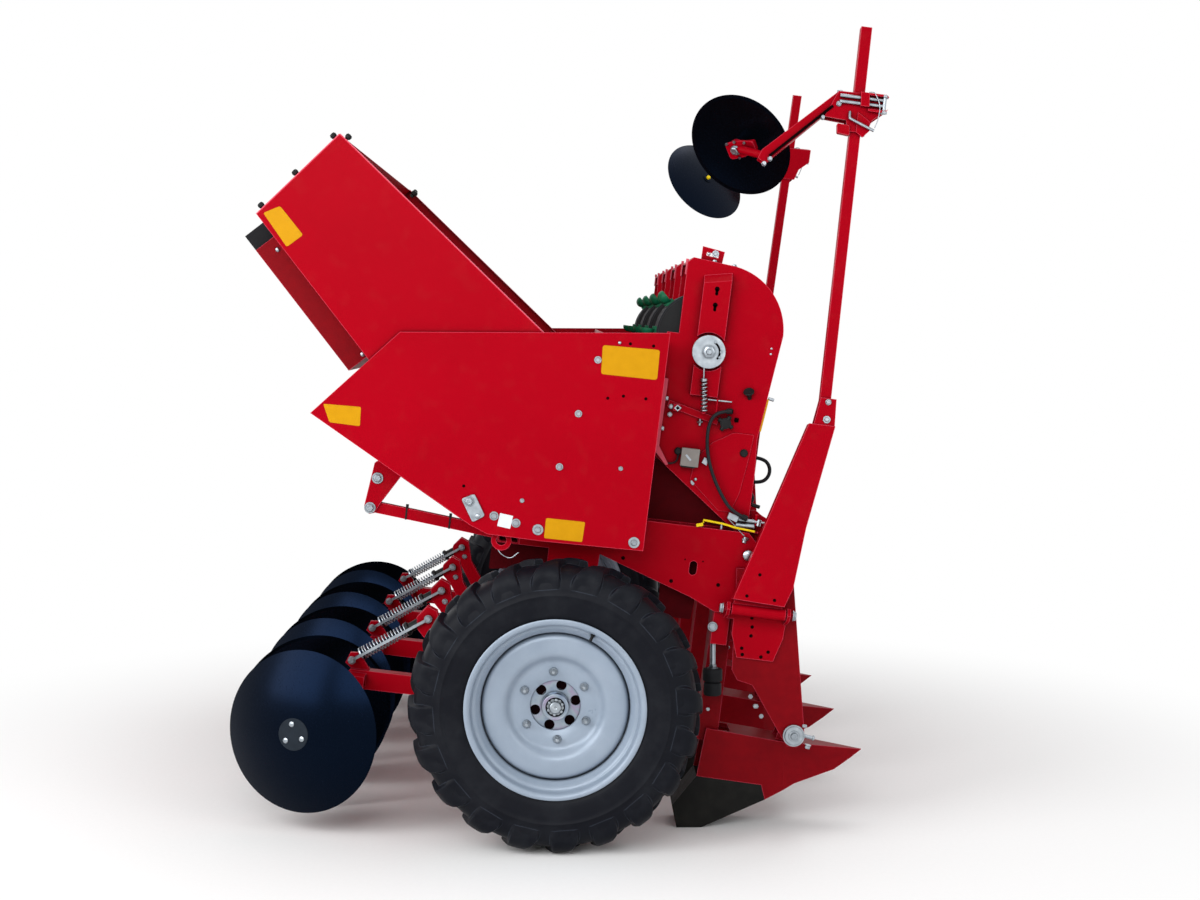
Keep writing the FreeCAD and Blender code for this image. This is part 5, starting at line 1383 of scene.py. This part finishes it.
class PLANTER_OT_markers(bpy.types.Operator):
    """Add pins, clips and bearing brackets of the row markers"""

    bl_idname = "planter.markers"
    bl_label = "Row markers"

    def execute(self, context):
        for name, side in SIDES.items():
            body = f"marker_boom_{name}"
            lean = leaned(side)
            self.clamp(name, side, body, lean)
            self.blade(name, side, body)
        return {"FINISHED"}

    def clamp(self, name, side, body, lean):
        """Setting screws, lock pin and link bolts of the clamp, drawn upright over the hinge."""
        y = side * MARKER_Y
        out = (0, side, 0)
        face = y + side * 28
        bm = bmesh.new()
        for x, z in ((856, 1186), (857, 1122)):
            bolt(bm, (x, face, z), out, 15, 8, 11 + (z < 1150) * 3)
        for z in (2318, 2296):
            pin(bm, (774, face + side * 8, z), (936, face + side * 8, z), 6.5)
        bolt(bm, (773, face, 2287), out, 17, 9, 10)
        bolt(bm, (776, y, 2337), (0, 0, 1), 19, 9, 0)
        for x, z in ((720, 2230), (544, 2053), (524, 2032)):
            bolt(bm, (x, y + side * 20, z), out, 14, 14, 9)
        for x, z in ((720, 2262), (540, 2092), (522, 2068)):
            pin(bm, (x, y - side * 22, z), (x, y - side * 10, z), 7)
        pin(bm, (939, face + side * 8, 2340), (939, face + side * 8, 2268), 7)
        for z in (2328, 2268):
            turned(bm, [(0, 0), (13, 0), (13, 8), (0, 8)], aim((939, face + side * 8, z), (0, 0, 1)), 6)
        handle = [(817, face + side * 2, 2262), (817, face + side * 14, 2238), (828, face + side * 16, 2230),
                  (910, face + side * 16, 2199)]
        swept(bm, smoothed(handle), 5.5, 12)
        piece(f"marker_pins_{name}", bm, "zinc_plate", body, tilt=lean)
        bm = bmesh.new()
        wire = [(878, 2340), (897, 2340), (913, 2317), (923, 2289), (922, 2256), (920, 2239), (912, 2210)]
        swept(bm, smoothed([(x, face + side * 17, z) for x, z in wire]), 1.8, 8)
        piece(f"marker_clip_{name}", bm, "zinc_plate", body, tilt=lean)
        bm = bmesh.new()
        upright(bm, [(848, 2338), (880, 2338), (884, 2286), (852, 2286)], face, face + side * 18)
        for low, high, tip in ((2330, 2338, 2324), (2270, 2278, 2282)):
            upright(bm, rounded([(880, low), (945, low), (954, tip + 4), (945, high), (880, high)], 3),
                    face - side * 6, face + side * 18)
        upright(bm, rounded([(774, 2214), (820, 2211), (824, 2174), (778, 2178)], 6), y - 10, face + side * 6)
        upright(bm, [(846, 2264), (892, 2236), (896, 2200), (872, 2172), (846, 2190)], face, face + side * 5)
        piece(f"marker_clamp_parts_{name}", bm, "red_powder_coat", body, tilt=lean, bevel=0.8)
        # Painted shade in three holes of the hinge.
        bm = bmesh.new()
        hinge_face = side * (MARKER_Y + 32)
        for x, z in ((640, 452), (741, 448), (678, 533)):
            hole(bm, (x, hinge_face, z), out, 6)
        # A dark strip along the link paints the shade of a gap between two bars.
        start, end = Vector((540, 2062)), Vector((752, 2277))
        over = Vector((start.y - end.y, end.x - start.x)).normalized() * 5
        upright(bm, [start - over, end - over, end + over, start + over], y + side * 29, y + side * 30.5)
        piece(f"marker_arm_holes_{name}", bm, "deep_shadow", body, tilt=lean)

    def blade(self, name, side, body):
        """Bearing bracket, nut and bolts in front of a marker disc's hub."""
        mirror = Vector((1, side, 1))
        centre = BLADE_CENTRE * mirror
        axis = BLADE_AXIS * mirror
        toward = BLADE_MOUNT * mirror - centre
        across = (toward - axis * toward.dot(axis)).normalized()
        over = axis.cross(across)
        place = Matrix((across, over, axis)).transposed().to_4x4()
        place.translation = centre + axis * 36
        bm = bmesh.new()
        outline = rounded([(-36, -34), (30, -34), (84, -20), (84, 20), (30, 34), (-36, 34)], 16)
        slab(bm, [place @ Vector((x, y, 0)) for x, y in outline], axis * 8)
        outline = rounded([(40, -22), (84, -20), (84, 20), (40, 22)], 6)
        slab(bm, [place @ Vector((x, y, -14)) for x, y in outline], axis * 20)
        piece(f"blade_bracket_{name}", bm, "red_powder_coat", body, bevel=1.5)
        bm = bmesh.new()
        turned(bm, [(0, 8), (20, 8), (20, 11), (0, 11)], place, 32)
        hub = place @ Vector((0, 0, 10))
        bolt(bm, hub, axis, 27, 13, 17)
        for x, y in ((-26, 30), (8, 32), (48, 22), (56, -18), (6, -32)):
            bolt(bm, place @ Vector((x, y, 7)), axis, 11, 6, 0)
        piece(f"blade_nuts_{name}", bm, "zinc_plate", body)
        crown = centre - axis * 28
        bm = bmesh.new()
        turned(bm, [(0, -1), (22, -1), (22, 3), (9, 4), (0, 4)], aim(crown, -axis), 28)
        piece(f"blade_crown_{name}", bm, "black_lacquer", f"marker_blade_{name}")
        bm = bmesh.new()
        turned(bm, [(0, 3), (9, 3), (9, 12), (7, 15), (0, 15)], aim(crown, -axis), 20)
        piece(f"blade_cap_{name}", bm, "yellow_enamel", f"marker_blade_{name}")


# ---------------------------------------------------------------- stage
# Lens in millimetres; the camera's place ahead of the axle, to the right of the machine and over the ground
# in metres; and how far it looks down and to the front, in degrees.
LENS = 57.81
CAMERA = (0.05, -8.3, 1.90)
LOOK_DOWN = 3.9187
LOOK_FORWARD = 0.9195

# Square lamps, aimed at the machine's middle: place and edge in metres, and power in watts.
LAMPS = {
    "sky": ((-5.0, -4.7, 3.6), 4.0, 262.0),
    "key": ((-1.2, -8.0, 4.4), 4.0, 228.0),
    "fill": ((4.5, -6.0, 3.4), 3.0, 55.0),
    "top": ((0.5, 1.5, 7.0), 4.0, 140.0),
}
LAMP_TARGET = Vector((0, 0, 1.2))


class PLANTER_OT_stage(bpy.types.Operator):
    """Lay the pale floor and set the camera, lamps and background"""

    bl_idname = "planter.stage"
    bl_label = "Stage"

    def execute(self, context):
        scene = context.scene
        bm = bmesh.new()
        bmesh.ops.create_grid(bm, x_segments=1, y_segments=1, size=40)
        mesh = bpy.data.meshes.new("floor")
        bm.to_mesh(mesh)
        bm.free()
        floor = bpy.data.objects.new("floor", mesh)
        scene.collection.objects.link(floor)
        mesh.materials.append(self.floor_material())
        self.background(scene)
        self.lamps(scene)
        view = bpy.data.cameras.new("view")
        view.lens = LENS
        view.sensor_width = 36.0
        camera = bpy.data.objects.new("view", view)
        camera.location = Vector((axle_point().x, 0, 0)) + Vector(CAMERA)
        camera.rotation_euler = (math.radians(90 - LOOK_DOWN), 0, math.radians(-LOOK_FORWARD))
        scene.collection.objects.link(camera)
        scene.camera = camera
        scene.view_settings.view_transform = "Standard"
        return {"FINISHED"}

    def seen(self, tree):
        """Factor that is 1 for what the eye sees, also in a reflection, and 0 for light on a surface."""
        path = add(tree, "ShaderNodeLightPath")
        share = path.outputs["Is Camera Ray"]
        for ray in ("Is Glossy Ray", "Is Transmission Ray"):
            share = add(tree, "ShaderNodeMath",
                        {0: share, 1: path.outputs[ray]}, operation="MAXIMUM").outputs["Value"]
        return share

    def floor_material(self):
        """Pale matt floor that runs out into the white background a few metres away."""
        material, tree, shader = surface("pale_floor", Roughness=0.9, Specular_IOR_Level=0.1)
        place = add(tree, "ShaderNodeTexCoord").outputs["Object"]
        # Trowelled screed, mottled over about 17 mm.
        grain = add(tree, "ShaderNodeTexNoise",
                    {"Vector": place, "Scale": marks(16.7), "Detail": 4.0}).outputs["Fac"]
        shade = add(tree, "ShaderNodeMix", {"Factor": grain, "A": linear("#f4f4f4"), "B": linear("#fafafa")},
                    data_type="RGBA")
        tree.links.new(shade.outputs["Result"], shader.inputs["Base Color"])
        distance = add(tree, "ShaderNodeVectorMath", {0: place}, operation="LENGTH").outputs["Value"]
        far = add(tree, "ShaderNodeMapRange", {"Value": distance, "From Min": 1.4, "From Max": 3.6},
                  interpolation_type="SMOOTHSTEP").outputs["Result"]
        amount = add(tree, "ShaderNodeMath",
                     {0: far, 1: self.seen(tree)}, operation="MULTIPLY").outputs["Value"]
        white = add(tree, "ShaderNodeEmission",
                    {"Color": linear("#ffffff"), "Strength": 1.0}).outputs["Emission"]
        mixed = add(tree, "ShaderNodeMixShader", {"Fac": amount, 1: shader.outputs["BSDF"], 2: white})
        tree.links.new(mixed.outputs["Shader"], tree.nodes["Material Output"].inputs["Surface"])
        return material

    def background(self, scene):
        """White to the eye and in reflections, a softer grey as light on the machine."""
        world = bpy.data.worlds.new("studio")
        scene.world = world
        world.use_nodes = True
        tree = world.node_tree
        strength = add(tree, "ShaderNodeMapRange",
                       {"Value": self.seen(tree), "To Min": 0.5}).outputs["Result"]
        sky = tree.nodes["Background"]
        sky.inputs["Color"].default_value = linear("#ffffff")
        tree.links.new(strength, sky.inputs["Strength"])

    def lamps(self, scene):
        """Four soft area lamps."""
        for name, (place, size, power) in LAMPS.items():
            lamp = bpy.data.lights.new(name, "AREA")
            lamp.energy = power
            lamp.size = size
            made = bpy.data.objects.new(name, lamp)
            made.location = place
            made.rotation_euler = (LAMP_TARGET - Vector(place)).to_track_quat("-Z", "Y").to_euler()
            scene.collection.objects.link(made)


# ---------------------------------------------------------------- panel
OPERATORS = (
    PLANTER_OT_stage, PLANTER_OT_coats, PLANTER_OT_wheels, PLANTER_OT_hopper, PLANTER_OT_bin,
    PLANTER_OT_housings, PLANTER_OT_hoses, PLANTER_OT_chassis, PLANTER_OT_closing, PLANTER_OT_markers,
)


class PLANTER_PT_panel(bpy.types.Panel):
    """Lists the planter's sizes, colours and building steps"""

    bl_label = "Planter"
    bl_idname = "PLANTER_PT_panel"
    bl_space_type = "VIEW_3D"
    bl_region_type = "UI"
    bl_category = "Planter"

    def draw(self, context):
        for group in (context.scene.planter_colours, context.scene.planter_sizes):
            for name in group.__annotations__:
                self.layout.prop(group, name)
        for operator in OPERATORS:
            self.layout.operator(operator.bl_idname)


CLASSES = (PlanterColours, PlanterSizes, *OPERATORS, PLANTER_PT_panel)


def register():
    for made in CLASSES:
        bpy.utils.register_class(made)
    bpy.types.Scene.planter_colours = PointerProperty(type=PlanterColours)
    bpy.types.Scene.planter_sizes = PointerProperty(type=PlanterSizes)


def unregister():
    del bpy.types.Scene.planter_sizes
    del bpy.types.Scene.planter_colours
    for made in reversed(CLASSES):
        bpy.utils.unregister_class(made)


def main():
    register()
    for operator in OPERATORS:
        getattr(bpy.ops.planter, operator.bl_idname.split(".")[1])()
    bpy.context.view_layer.update()


if __name__ == "__main__":
    main()
